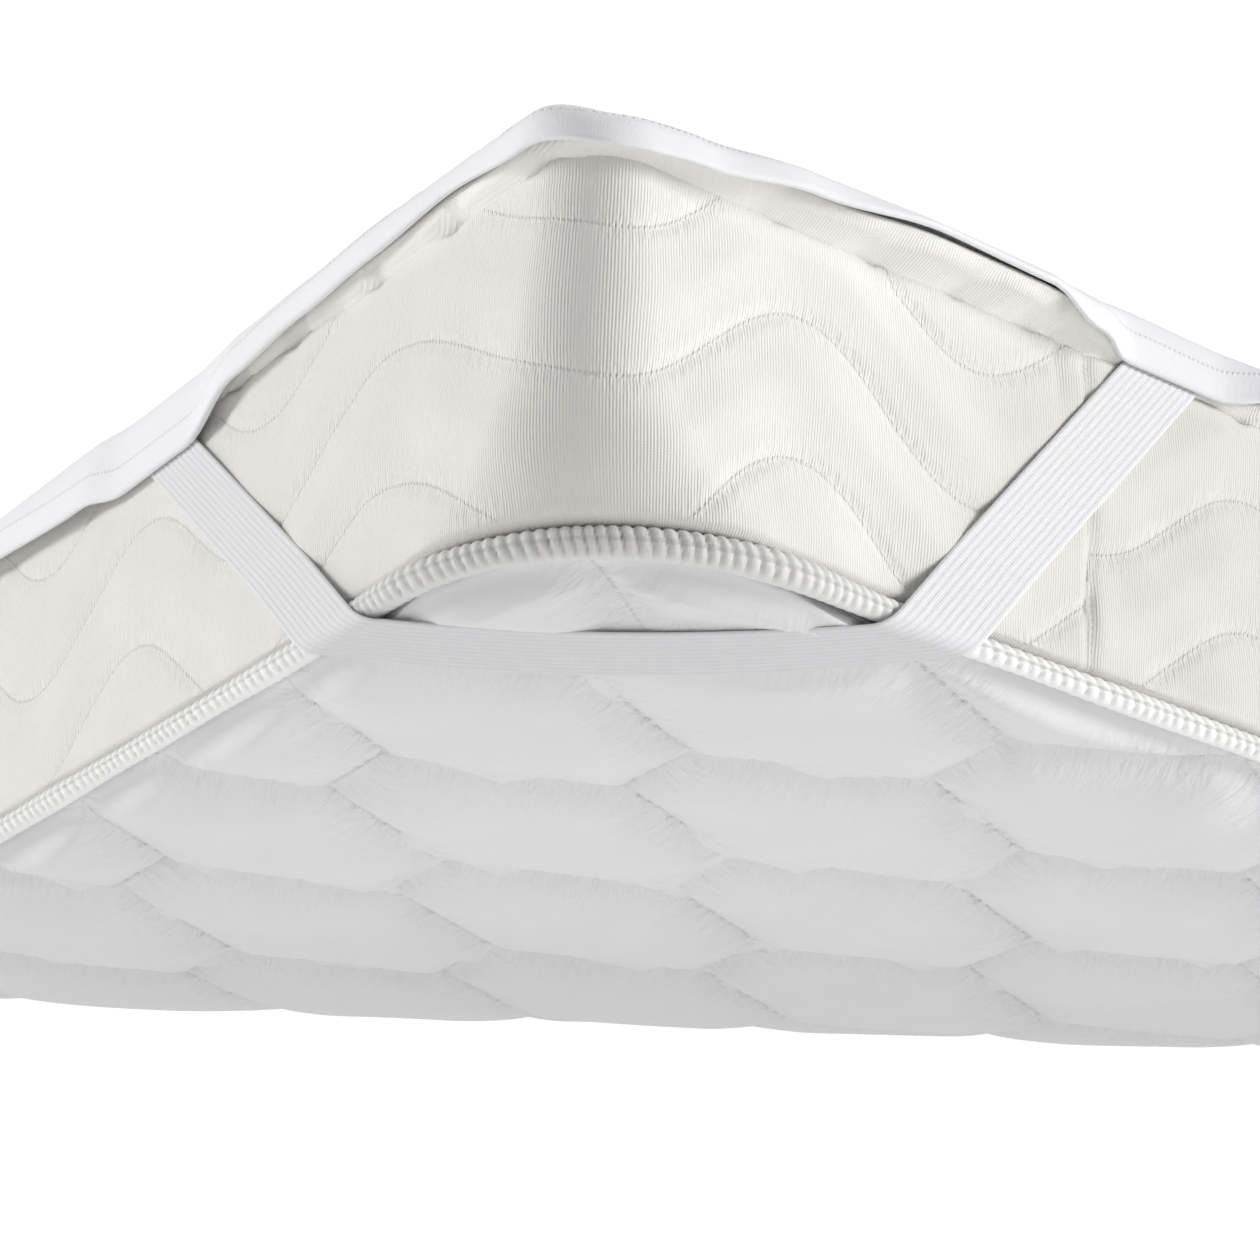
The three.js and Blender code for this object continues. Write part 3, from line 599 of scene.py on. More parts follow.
def mattress_top(material):
    seat, radius = TOP_SEAT, TOP_CORNER_RADIUS
    alongs, acrosses = (
        lines((seat, 60, 4), (60, 700, 12), (700, size - 60, 30), (size - 60, size - seat, 6))
        for size in (LENGTH, WIDTH)
    )
    along, across = rounded_grid(alongs, acrosses, seat, radius)
    edge = np.minimum(*insets(along, across)) - seat
    toward = across - along
    raised = RIM_ROLL + TALL_ROLL_MORE * smoothstep(toward, 20, 110) * (1 - smoothstep(toward, 240, 400))
    raised *= near_corner(along, across) * (1 + 0.06 * waves((along, across), 31, 5, 70, 160))
    up = THICKNESS - 0.1 - 0.6 * np.exp(-edge / 7) + raised * roll_profile(edge)
    rows, columns = along.shape
    loop = border_loop(rows, columns)
    high = np.stack([along, across, up], -1)
    low = high.copy()
    low[..., 2] = THICKNESS - TOP_SKIRT
    rim = high[tuple(loop.T)][:, :2]
    edge_raised = raised[tuple(loop.T)]
    away = way_out(rim, seat + radius)
    levels = []
    walked = np.where(rim[:, 1] <= rim[:, 0], rim[:, 0], -rim[:, 1])
    gape = border_lip(walked) * (np.minimum(rim[:, 0], rim[:, 1]) < seat + radius)
    flare = edge_sections(rim[:, 0], rim[:, 1])[:, -1, 0]
    fuller = np.maximum(0, (flare - ROLL_SPARE) / ROLL_STEPS[2][0] - 1) * smoothstep(edge_raised, 4, 8)
    for (out, height, share), follows in zip(ROLL_STEPS, ROLL_FOLLOWS):
        spread = out * (1 + follows * fuller) * (0.55 + 0.45 * np.minimum(1, edge_raised / RIM_ROLL))
        if share < 0.1:
            spread = spread - SLIT_DEPTH * clamp(gape, 0, 1)
        place = rim + away * spread[:, None]
        levels.append(np.concatenate([place, (THICKNESS + height + share * edge_raised)[:, None]], 1))
    count = rows * columns
    points = np.concatenate([high.reshape(-1, 3), low.reshape(-1, 3), *levels])
    top_ids = loop[:, 0] * columns + loop[:, 1]
    between = [2 * count + len(loop) * k + np.arange(len(loop)) for k in reversed(range(len(levels)))]
    chain = [top_ids + count, *between, top_ids]
    skins = [grid_faces(rows, columns, True), grid_faces(rows, columns, False) + count]
    faces = np.concatenate(skins + [band(under, over) for under, over in zip(chain, chain[1:])]).tolist()
    cloth = corner_values(points * (1, 1, 0) + points[:, 2:] * (0.8, 0.8, 0), faces)
    stitch = corner_values(np.full((len(points), 3), (0.0, NO_STITCH, NO_STITCH)), faces)
    marks = {"cloth": cloth, "stitch": stitch}
    return mesh_piece("mattress_top", points, faces, marks, material)


# Piping: a ribbed tape round a cord, thicker where it rounds the raised corner
PIPING_OUT = -0.5
PIPING_UP = 4.5
RIB_PITCH = 7.4
RIB_DEPTH = 1.7
RIB_LEAN = 2.4
PIPING_RADIUS = 6.3
PIPING_CORNER_MORE = 1.9
PIPING_SIDES = 20


def piping(material):
    distance = stations(1.32, 2.2)
    lift = edge_lift(distance)
    by_corner = np.exp(-((distance / 190) ** 4))
    radius = PIPING_RADIUS + PIPING_CORNER_MORE * by_corner
    radius = radius + 0.25 * np.sin(distance / 47) + 0.2 * np.sin(distance / 19 + 2)
    turn = 2 * math.pi * np.arange(PIPING_SIDES) / PIPING_SIDES
    lean = RIB_LEAN * np.sin(turn)[None, :]
    walked = distance + 1.6 * np.sin(distance / 31) + 1.1 * np.sin(distance / 11.3)
    phase = walked[:, None] / RIB_PITCH + lean / RIB_PITCH
    rib = np.abs(np.sin(math.pi * phase)) ** 0.5
    ribbed = smoothstep(np.sin(turn)[None, :], -1, -0.85)
    around = radius[:, None] + RIB_DEPTH * (rib - 1) * ribbed
    rib = 1 - (1 - rib) * ribbed
    place, outward = outline(distance, UNDERSIDE_CORNER_RADIUS)
    out = PIPING_OUT + around * np.cos(turn)
    up = (lift + PIPING_UP + 0.5 * by_corner)[:, None] + around * np.sin(turn)
    flat = place[:, None, :] + outward[:, None, :] * out[..., None]
    points = np.concatenate([flat, up[..., None]], -1)
    cloth = np.zeros(points.shape)
    cloth[..., 0] = distance[:, None]
    cloth[..., 1] = turn * 7
    # Colour share for the tape's look: painted shade, darker in the rib grooves and darker again round the
    # raised corner
    cloth[..., 2] = (0.25 + 0.75 * rib) * (1 - 0.42 * by_corner[:, None])
    piece = ring_piece("mattress_piping_tape", points, {"cloth": cloth}, material)
    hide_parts("mattress_piping")


# Sheet. Edge sections are of its inner face: outward offset and height above the mattress's top
PLAIN_EDGE = ((-18, 2.4), (-6, 1), (3, -4.5), (7.5, -12), (8.5, -21))
STRAP_EDGE = ((-18, 2.5), (-8, 2.4), (1.5, -0.5), (4.3, -7), (4.3, -19))
OPEN_EDGE = ((-18, 8), (-6, 11), (4, 6), (8, -2), (9, -12))
RAISED_EDGES = (
    (-1000, PLAIN_EDGE),
    (-850, OPEN_EDGE),
    (-620, ((-18, 11), (-6, 19), (4, 18), (8.5, 5), (9, -13))),
    (-480, ((-18, 12), (-6, 21), (4, 19), (8.5, 2), (8.5, -20))),
    (-440, ((-18, 12), (-8, 21), (2, 17), (4.6, -5), (4.3, -26))),
    (-365, ((-18, 12), (-8, 22), (2, 18), (4.6, -4), (4.3, -25))),
    (-310, ((-18, 13), (-6, 23), (4, 22), (9, 10), (9, -6.5))),
    (-240, ((-18, 13), (-6, 23.5), (4, 24), (9.5, 13), (9.5, 0))),
    (-170, ((-18, 13), (-6, 24), (4, 25.5), (9.5, 17), (10, 3.5))),
    (-100, ((-18, 13), (-6, 22), (4, 23), (9, 16), (10.5, 7))),
    (-30, ((-18, 11), (-6, 19), (5, 20), (11, 13), (12.5, -2))),
    (15, ((-18, 8), (-6, 11), (5, 11), (11.5, 4), (13.5, -9))),
    (60, ((-18, 8), (-6, 12), (6, 14), (13, 7), (17, -6))),
    (120, ((-18, 9), (-5, 14), (8, 18), (18, 13), (24, 0))),
    (195, ((-18, 9), (-4, 14), (10, 15.5), (22, 12.5), (31, 5))),
    (265, ((-18, 10), (-4, 14), (10, 15), (23, 11.5), (32, 2.5))),
    (310, ((-18, 12), (-5, 19), (7, 21), (16, 14), (20, -3))),
    (342, ((-18, 15), (-8, 26), (2, 27), (5.3, 11), (4.3, -3))),
    (406, ((-18, 17), (-8, 28), (1, 27), (4.3, 13), (4.3, -3))),
    (455, ((-18, 16), (-5, 26), (6, 25), (13, 18), (17, 6))),
    (620, ((-18, 14), (-5, 23), (6, 21), (11, 12), (13, 0))),
    (850, OPEN_EDGE),
    (1000, PLAIN_EDGE),
)
RESTING_EDGES = ((300, PLAIN_EDGE), (350, STRAP_EDGE), (430, STRAP_EDGE), (490, PLAIN_EDGE))
RAISED_REACH = 1030
SHEET_GAP = 0.5
EDGE_LOFT = 9
EDGE_LOFT_REACH = 45
RIDGE_HEIGHT = 22
RIDGE_WIDTH = 130
RIDGE_EDGE_SHARE = 0.45
RIDGE_EDGE_REACH = 170
BRIDGE_HEIGHT = 5
RIM_EASE = 34
SHEET_MARGIN = 18
SHEET_ZONE = SHEET_CORNER_RADIUS - SHEET_MARGIN + 2
NO_HEM = 99.0


def eased(table, distance):
    """Edge sections at distances, eased between the rows of a table"""
    keys = np.array([key for key, _ in table], float)
    sections = np.array([section for _, section in table], float)
    last = np.clip(np.searchsorted(keys, distance, "right"), 1, len(keys) - 1)
    share = smoothstep(distance, keys[last - 1], keys[last])[..., None, None]
    return sections[last - 1] * (1 - share) + sections[last] * share


def edge_sections(along, across):
    sections = eased(RESTING_EDGES, np.maximum(*insets(along, across)))
    raised = (np.minimum(along, across) < SHEET_CORNER_RADIUS) & (np.maximum(along, across) < RAISED_REACH)
    sections[raised] = eased(RAISED_EDGES, (along - across)[raised])
    return sections


def ridge_height(along, across):
    """The top's spare length stands in two soft ridges along the fold"""
    past = FOLD_ALONG * along + FOLD_ACROSS * across - (FOLD_FROM_CORNER - FOLD_LENGTH / 2)

    def ridge(centre, width):
        return np.cos(math.pi * clamp((past - centre) / width, -0.5, 0.5)) ** 2

    edge = smoothstep(np.minimum(*insets(along, across)), 0, RIDGE_EDGE_REACH)
    both = ridge(-RIDGE_WIDTH / 2, RIDGE_WIDTH) + ridge(RIDGE_WIDTH / 2, RIDGE_WIDTH)
    share = RIDGE_EDGE_SHARE + (1 - RIDGE_EDGE_SHARE) * edge
    return RIDGE_HEIGHT * share * both + BRIDGE_HEIGHT * ridge(0, 1.5 * RIDGE_WIDTH)


def sheet_gap(along, across):
    raised = near_corner(along, across)
    from_edge = np.minimum(along, across) - SHEET_CORNER_RADIUS
    loft = EDGE_LOFT * raised * np.exp(-((from_edge / EDGE_LOFT_REACH) ** 2))
    return SHEET_GAP + ridge_height(along, across) + loft


def rim_start(along, across):
    """How far over the mattress's top the rim begins, at the part of it nearest to a place"""
    toward = along - across
    key = toward + np.sign(toward) * np.minimum(along, across) * smoothstep(np.abs(toward), 0, 60)
    raised = eased(RAISED_EDGES, clamp(key, -1000, 1000))[..., 0, 1]
    resting = eased(RESTING_EDGES, np.maximum(*insets(along, across)))[..., 0, 1]
    near = (np.minimum(along, across) < 80) & (np.maximum(along, across) < RAISED_REACH)
    return np.where(near, raised, resting)


def through(sections, shares):
    """Points of a smooth curve through each edge section, at shares of its length from 0 to 1"""
    count = sections.shape[-2] - 1
    place = clamp(np.asarray(shares) * count, 0, count - 1e-6)
    start = place.astype(int)
    t = (place - start)[:, None]

    def at(k):
        return sections[..., np.clip(k, 0, count), :]

    before, here, there, after = at(start - 1), at(start), at(start + 1), at(start + 2)
    return 0.5 * (
        2 * here
        + (there - before) * t
        + (2 * before - 5 * here + 4 * there - after) * t**2
        + (3 * here - before - 3 * there + after) * t**3
    )


def protector_sheet(material):
    margin, core = SHEET_MARGIN, SHEET_MARGIN + SHEET_ZONE
    spans = ((margin, core, 1.8), (core, 110, 6), (110, 620, 7.5))
    alongs, acrosses = (
        lines(*spans, (620, view, 11), (view, size - core, 14), (size - core, size - margin, 3))
        for size, view in ((LENGTH, 1400), (WIDTH, 1100))
    )
    along, across = rounded_grid(alongs, acrosses, margin, SHEET_ZONE)
    loop = border_loop(*along.shape)
    edge = np.stack([along, across], -1)[tuple(loop.T)]
    away = way_out(edge, core)
    nominal = edge + away * margin
    sections = edge_sections(nominal[:, 0], nominal[:, 1])
    shares = np.linspace(0, 1, 17)[1:]
    rim = through(sections, shares)
    ridge = ridge_height(nominal[:, 0], nominal[:, 1])
    rim_flat = nominal[:, None, :] + away[:, None, :] * rim[..., :1]
    rim_up = THICKNESS + rim[..., 1] + ridge[:, None]
    first_up = THICKNESS + sections[:, 0, 1] + ridge
    near = np.minimum(*insets(along, across)) - margin
    rim_share = 1 - smoothstep(near, -6, RIM_EASE)
    up = THICKNESS + sheet_gap(along, across)
    up += rim_share * (THICKNESS + ridge_height(along, across) + rim_start(along, across) - up)
    up[tuple(loop.T)] = first_up
    rumple = 0.9 * (1 + waves((along, across), 21, 9, 90, 260)) * smoothstep(near, 10, 80)
    up += np.maximum(rumple, -SHEET_GAP + 0.1)
    inner_grid = np.stack([along, across, up], -1)
    rings = np.concatenate([rim_flat, rim_up[..., None]], -1)
    rows, columns = along.shape
    count = rows * columns
    around = len(loop)
    border = loop[:, 0] * columns + loop[:, 1]
    inner_points = np.concatenate([inner_grid.reshape(-1, 3), rings.transpose(1, 0, 2).reshape(-1, 3)])
    chain = [border] + [count + around * k + np.arange(around) for k in range(len(shares))]
    rim_faces = [band(outer, inward) for inward, outer in zip(chain, chain[1:])]
    skin = np.concatenate([grid_faces(rows, columns, True), *rim_faces])
    normals = point_normals(inner_points, skin)
    length = np.linalg.norm(np.diff(np.concatenate([sections[:, :1], rim], 1), axis=1), axis=2)
    from_hem = np.cumsum(length[:, ::-1], 1)[:, ::-1]
    from_hem = np.concatenate([from_hem[:, 1:], np.zeros((around, 1))], 1)
    hem = np.full(len(inner_points), NO_HEM)
    hem[count:] = from_hem.T.ravel()
    hem[border] = from_hem[:, 0] + length[:, 0]
    in_hem = 1 - smoothstep(hem, HEM_WIDTH - 1.5, HEM_WIDTH + 1)
    thick = SHEET_THICKNESS + (HEM_THICKNESS - SHEET_THICKNESS) * in_hem
    thick -= 0.9 * bump(hem, HEM_WIDTH - 3, 1.6)
    outer_points = inner_points + normals * thick[:, None]
    total = len(inner_points)
    edge_ids = chain[-1]
    middle = (inner_points[edge_ids] + outer_points[edge_ids]) / 2
    outwards = inner_points[edge_ids] - inner_points[chain[-2]]
    outwards /= np.linalg.norm(outwards, axis=1)[:, None]
    middle += outwards * 1.2
    points = np.concatenate([inner_points, outer_points, middle])
    middle_ids = 2 * total + np.arange(around)
    closing = [band(edge_ids, middle_ids), band(middle_ids, edge_ids + total)]
    faces = np.concatenate([skin[:, ::-1], skin + total, *closing]).tolist()
    travelled = np.cumsum(np.r_[0, np.linalg.norm(np.diff(nominal, axis=0), axis=1)])
    travelled *= PERIMETER * (1 - 1 / around) / travelled[-1]
    marks = np.zeros((total, 3))
    marks[:, 1] = hem
    marks[count:, 0] = np.tile(travelled, len(shares))
    marks[border, 0] = travelled
    cloth = np.concatenate([inner_points, inner_points, inner_points[edge_ids]])
    stitch = np.concatenate([marks, marks, marks[edge_ids]])
    stitch = corner_values(stitch, faces).reshape(-1, 4, 3)
    last = np.ptp(stitch[..., 0], axis=1) > PERIMETER / 2
    stitch[last, :, 0] += np.where(stitch[last, :, 0] < PERIMETER / 2, PERIMETER, 0)
    layers = {"cloth": corner_values(cloth, faces), "stitch": stitch}
    piece = mesh_piece("protector_cloth", points, faces, layers, material)
    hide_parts("protector_sheet")
    return piece


def point_normals(points, faces):
    """Unit normals at points, from the faces round them"""
    corners = points[faces]
    crosses = np.cross(corners[:, 2] - corners[:, 0], corners[:, 3] - corners[:, 1])
    totals = np.zeros(points.shape)
    for k in range(4):
        np.add.at(totals, faces[:, k], crosses)
    return totals / np.linalg.norm(totals, axis=1)[:, None]


# Straps
STRAP_UNDERSIDE = 3.2
STRAP_PANEL_OUT = 3.15
STRAP_PANEL_START = 62
BELLY_TILT = 0.6
WRAP_UP = UNDERSIDE_EDGE_LIFT + PIPING_UP
WRAP_RADIUS = WRAP_UP - STRAP_UNDERSIDE
WRAP_TARGET = (STRAP_PANEL_OUT - PIPING_OUT, STRAP_PANEL_START - WRAP_UP)
WRAP_REACH = math.hypot(*WRAP_TARGET)
WRAP_TURN = math.atan2(WRAP_TARGET[1], WRAP_TARGET[0]) + math.asin(WRAP_RADIUS / WRAP_REACH)
WRAP_ARC = WRAP_RADIUS * WRAP_TURN
WRAP_LINE = math.sqrt(WRAP_REACH**2 - WRAP_RADIUS**2)
RESTING_SIDE = {"crossing": 197, "slant": 1, "top": THICKNESS - 7.5}
RESTING = {"along_side": RESTING_SIDE, "across_side": RESTING_SIDE, "belly": 0}
STRAPS = (
    {
        "name": "strap_raised",
        "corner": (0, 0),
        "along_side": {"crossing": 205, "slant": 0.8, "top": THICKNESS + 6},
        "across_side": {"crossing": 177, "slant": 1.13, "top": THICKNESS - 6},
        "belly": 8,
    },
    {"name": "strap_foot", "corner": (0, WIDTH), **RESTING},
    {"name": "strap_far", "corner": (LENGTH, 0), **RESTING},
    {"name": "strap_head", "corner": (LENGTH, WIDTH), **RESTING},
)


def strap_side(side, spread, mirrored):
    """Rows of a strap's one side, from its crossing of the mattress edge up to its end in the hem"""
    end = WRAP_ARC + WRAP_LINE + side["top"] - STRAP_PANEL_START
    walked = lines((0, WRAP_ARC, 1.5), (WRAP_ARC, end, 6))
    turn = np.minimum(walked / WRAP_RADIUS, WRAP_TURN)
    line = clamp(walked - WRAP_ARC, 0, WRAP_LINE)
    climb = np.maximum(0, walked - WRAP_ARC - WRAP_LINE)
    normal_out, normal_up = np.sin(turn), -np.cos(turn)
    out = PIPING_OUT + WRAP_RADIUS * normal_out + line * np.cos(turn)
    up = WRAP_UP + WRAP_RADIUS * normal_up + line * np.sin(turn)
    straight = (STRAP_PANEL_OUT, STRAP_PANEL_START + climb, 1, 0)
    out, up, normal_out, normal_up = (
        np.where(climb > 0, then, before) for then, before in zip(straight, (out, up, normal_out, normal_up))
    )
    run = side["crossing"] + PIPING_OUT + side["slant"] * walked
    first = run[:, None] + spread * math.sqrt(2)
    flat = np.zeros(first.shape)
    places = np.stack([first, flat - out[:, None], flat + up[:, None]], -1)
    push = np.stack([flat, flat - normal_out[:, None], flat + normal_up[:, None]], -1)
    order = [1, 0, 2] if mirrored else [0, 1, 2]
    return places[..., order], push[..., order]


def strap(made, material):
    half = np.linspace(-0.5, 0.5, 4 * STRAP_RIBS + 1)
    spread = half * STRAP_WIDTH
    along_rows, along_push = strap_side(made["along_side"], spread, False)
    across_rows, across_push = strap_side(made["across_side"], spread, True)
    share = np.linspace(0, 1, 42)[1:-1, None]
    under = across_rows[0] * (1 - share[..., None]) + along_rows[0] * share[..., None]
    under[..., 2] = STRAP_UNDERSIDE - made["belly"] * (1 - (2 * share - 1) ** 2) * (1 + BELLY_TILT * half)
    under_push = np.zeros(under.shape)
    under_push[..., 2] = -1
    rows = np.concatenate([across_rows[::-1], under, along_rows])
    push = np.concatenate([across_push[::-1], under_push, along_push])
    walked = np.cumsum(np.r_[0, np.linalg.norm(np.diff(rows[:, 2 * STRAP_RIBS], axis=0), axis=1)])
    rib = np.abs(np.cos(math.pi * STRAP_RIBS * (half + 0.5)))
    outer = STRAP_THICKNESS / 2 - STRAP_RIB_DEPTH * rib
    outer[[0, -1]] = STRAP_EDGE_HALF
    section = np.concatenate([outer[None, :, None] * push, -STRAP_THICKNESS / 2 * push[:, ::-1]], 1)
    points = np.concatenate([rows, rows[:, ::-1]], 1) + section
    for axis, size in ((0, LENGTH), (1, WIDTH)):
        if made["corner"][axis]:
            points[..., axis] = size - points[..., axis]
    count, around = points.shape[:2]
    i, k = (grid.ravel() for grid in np.meshgrid(np.arange(count - 1), np.arange(around), indexing="ij"))
    following = (k + 1) % around
    here, above = i * around, (i + 1) * around
    faces = np.stack([here + k, above + k, above + following, here + following], 1)
    width = len(half)
    caps = []
    for row, turned in ((0, False), (count - 1, True)):
        start = row * around
        for k in range(width - 1):
            quad = [start + k, start + k + 1, start + around - 2 - k, start + around - 1 - k]
            caps.append(quad if not turned else quad[::-1])
    faces = faces.tolist() + caps
    if (made["corner"][0] > 0) != (made["corner"][1] > 0):
        faces = [face[::-1] for face in faces]
    cloth = np.zeros(points.shape)
    cloth[..., 0] = walked[:, None]
    cloth[:, :width, 1] = spread
    cloth[:, width:, 1] = spread[::-1]
    layers = {"cloth": corner_values(cloth.reshape(-1, 3), faces)}
    points = points.reshape(-1, 3)
    piece = mesh_piece(made["name"] + "_elastic", points, faces, layers, material)
    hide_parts(made["name"])
    size = float(walked[-1]) * MM


# Materials
class Nodes:
    """A tree of shading nodes, made a few at a time"""

    def __init__(self, tree):
        self.tree = tree

    def link(self, value, socket):
        if isinstance(value, (int, float, tuple)):
            socket.default_value = value
        else:
            self.tree.links.new(value, socket)

    def node(self, kind, output=0, **inputs):
        made = self.tree.nodes.new(kind)
        for key, value in inputs.items():
            self.link(value, made.inputs[key.replace("_", " ")])
        return made.outputs[output]

    def filled(self, kind, values, **settings):
        """The outputs of a node whose inputs are filled in their order"""
        made = self.tree.nodes.new(kind)
        for key, value in settings.items():
            setattr(made, key, value)
        for socket, value in zip(made.inputs, values):
            self.link(value, socket)
        return made.outputs

    def ramp(self, value, start, end, low=0.0, high=1.0):
        """Goes from low to high as a value goes from start to end"""
        spans = {"From_Min": start, "From_Max": end, "To_Min": low, "To_Max": high}
        return self.node("ShaderNodeMapRange", "Result", Value=value, **spans)


class Look(Nodes):
    """One material, with its shader"""

    def __init__(self, name, colour, roughness, **sockets):
        self.material = bpy.data.materials.new(name)
        self.material.use_nodes = True
        super().__init__(self.material.node_tree)
        self.shader = self.tree.nodes["Principled BSDF"]
        self.shader.inputs["Base Color"].default_value = (*colour, 1)
        self.shader.inputs["Roughness"].default_value = roughness
        self.shader.inputs["Specular IOR Level"].default_value = 0.2
        for socket, value in sockets.items():
            self.shader.inputs[socket.replace("_", " ")].default_value = value

    def maths(self, operation, *values):
        return self.filled("ShaderNodeMath", values, operation=operation)[0]

    def mark(self, label):
        """The three parts of a cloth place, in millimetres"""
        source = self.filled("ShaderNodeAttribute", (), attribute_name=label)["Vector"]
        return self.filled("ShaderNodeSeparateXYZ", [source])

    def vector(self, *values):
        return self.filled("ShaderNodeCombineXYZ", values)[0]

    def noise(self, vector, scale, detail=3.0):
        inputs = {"Vector": vector, "Scale": scale, "Detail": detail, "Roughness": 0.55}
        return self.node("ShaderNodeTexNoise", "Fac", **inputs)

    def wave(self, value, pitch):
        """A cosine of a length, from -1 to 1, once every pitch"""
        return self.maths("COSINE", self.maths("MULTIPLY", value, 2 * math.pi / pitch))

    def times(self, first, *others):
        for value in others:
            first = self.maths("MULTIPLY", first, value)
        return first

    def add(self, *terms):
        """The sum of some terms, each a value or a pair of a value and what it is multiplied by"""
        first, *others = (self.times(*term) if isinstance(term, tuple) else term for term in terms)
        for value in others:
            first = self.maths("ADD", first, value)
        return first

    def fall(self, value, width):
        """1 at no distance, falling softly away over a width"""
        share = self.maths("DIVIDE", self.maths("ABSOLUTE", value), width)
        return self.maths("EXPONENT", self.times(share, share, -1.0))

    def relief(self, *terms):
        """Raises the surface by a sum of heights in millimetres"""
        metres = self.times(self.add(*terms), MM)
        normal = self.node("ShaderNodeBump", Distance=1.0, Strength=1.0, Height=metres)
        self.link(normal, self.shader.inputs["Normal"])

    def colour_between(self, share, low, high):
        made = self.tree.nodes.new("ShaderNodeMix")
        made.data_type = "RGBA"
        for k, value in ((0, share), (6, (*low, 1)), (7, (*high, 1))):
            self.link(value, made.inputs[k])
        self.link(made.outputs[2], self.shader.inputs["Base Color"])


def stitches(look, walked, off, pitch, width):
    """How much thread shows: dashes of a pitch along a line, within a width of it"""
    dash = look.maths("SMOOTH_MIN", look.add((look.wave(walked, pitch), 1.6), 0.9), 1.0, 0.3)
    dash = look.maths("MAXIMUM", dash, 0.0)
    return look.times(dash, look.fall(off, width))


def puckers(look, walked, off, pitch, reach):
    """Short wrinkles that run out from a stitch line"""
    place = look.vector(look.times(walked, 1 / pitch), look.times(off, 0.35 / pitch), 0.0)
    return look.times(look.noise(place, 1.0, 2.0), look.fall(off, reach))


def underside_look():
    look = Look("quilt_satin", (0.80, 0.80, 0.81), 0.6, Sheen_Weight=0.15, Sheen_Roughness=0.5)
    cloth, stitch = look.mark("cloth"), look.mark("stitch")
    place = look.vector(cloth[0], cloth[1], 0.0)
    weave = look.add(look.wave(cloth[0], 0.9), look.wave(cloth[1], 0.9))
    soft = look.noise(place, 0.035, 2.0)
    fine = look.noise(place, 0.45)
    pleats = look.times(puckers(look, stitch[0], stitch[1], 5.0, 26.0), stitch[2])
    thread = look.times(stitches(look, stitch[0], stitch[1], 3.4, 0.7), stitch[2])
    look.relief((weave, 0.012), (fine, 0.18), (pleats, 2.6), (thread, 0.5))
    look.colour_between(look.add((soft, 0.6), (fine, 0.4)), (0.78, 0.78, 0.79), (0.84, 0.84, 0.85))
    return look.material


def border_look(name, low, high):
    look = Look(name, high, 0.8, Sheen_Weight=0.2, Sheen_Roughness=0.5)
    cloth, stitch = look.mark("cloth"), look.mark("stitch")
    place = look.vector(cloth[0], cloth[1], 0.0)
    wale = look.wave(cloth[0], 1.7)
    course = look.wave(look.add(cloth[1], (look.maths("ABSOLUTE", wale), 0.4)), 1.25)
    soft = look.noise(place, 0.02, 2.0)
    fine = look.noise(look.vector(cloth[0], look.times(cloth[1], 0.35), 0.0), 0.9)
    pleats = puckers(look, stitch[0], stitch[1], 3.2, 11.0)
    thread = stitches(look, stitch[0], stitch[1], 3.6, 0.75)
    seam = stitches(look, cloth[1], stitch[2], 4.2, 0.8)
    look.relief((wale, 0.075), (course, 0.016), (fine, 0.16), (pleats, 0.9), (thread, 0.55), (seam, 0.2))
    # Painted shade: the knit turns darker from a little before the side seam onwards, away from the raised
    # corner
    beyond = look.ramp(stitch[2], -130.0, -20.0)
    tone = look.add((soft, 0.27), (fine, 0.27), (beyond, -0.36), 0.46)
    look.colour_between(tone, low, high)
    return look.material


def piping_look():
    look = Look("piping_satin", (0.86, 0.855, 0.84), 0.42, Sheen_Weight=0.1, Sheen_Roughness=0.4)
    cloth = look.mark("cloth")
    thread = look.wave(look.add(cloth[0], (cloth[1], 0.25)), 0.8)
    place = look.vector(cloth[0], look.times(cloth[1], 0.3), 0.0)
    uneven = look.noise(place, 0.4, 2.0)
    look.relief((thread, 0.03), (uneven, 0.3))
    # Base colour from painted shade in the rib grooves and round the raised corner, with a random unevenness
    painted_shade_and_tone = look.add(cloth[2], (uneven, 0.2), -0.1)
    look.colour_between(painted_shade_and_tone, (0.50, 0.49, 0.475), (0.98, 0.975, 0.965))
    return look.material


def protector_look():
    look = Look("protector_jersey", (0.87, 0.87, 0.90), 0.75, Sheen_Weight=0.25, Sheen_Roughness=0.5)
    cloth, stitch = look.mark("cloth"), look.mark("stitch")
    place = look.vector(cloth[0], cloth[1], cloth[2])
    weave = look.add(look.wave(cloth[0], 1.1), look.wave(cloth[1], 1.1))
    fine = look.noise(place, 0.5)
    soft = look.noise(place, 0.02, 2.0)
    hem_line = look.maths("SUBTRACT", stitch[1], float(HEM_WIDTH - 3))
    thread = stitches(look, stitch[0], hem_line, 3.6, 0.8)
    look.relief((weave, 0.012), (fine, 0.2), (thread, 0.5))
    # Painted shade: the sheet's rim along the long side is darker past the raised strap
    painted_shade_past_straps = look.ramp(cloth[0], 240.0, 360.0)
    painted_shade_at_long_rim = look.ramp(cloth[1], 70.0, 5.0)
    tone = look.add((soft, 0.2), (fine, 0.2), (painted_shade_past_straps, painted_shade_at_long_rim, -0.55), 0.6)
    look.colour_between(tone, (0.77, 0.765, 0.80), (0.92, 0.92, 0.94))
    return look.material


def elastic_look():
    look = Look("strap_elastic", (0.88, 0.88, 0.90), 0.6, Sheen_Weight=0.15, Sheen_Roughness=0.4)
    cloth = look.mark("cloth")
    cross = look.wave(cloth[0], 1.0)
    threads = look.wave(cloth[1], STRAP_WIDTH / STRAP_RIBS / 3)
    place = look.vector(look.times(cloth[0], 0.15), cloth[1], 0.0)
    uneven = look.noise(place, 0.8, 2.0)
    look.relief((cross, 0.03), (threads, 0.04), (uneven, 0.1))
    look.colour_between(uneven, (0.73, 0.73, 0.745), (0.80, 0.80, 0.815))
    return look.material


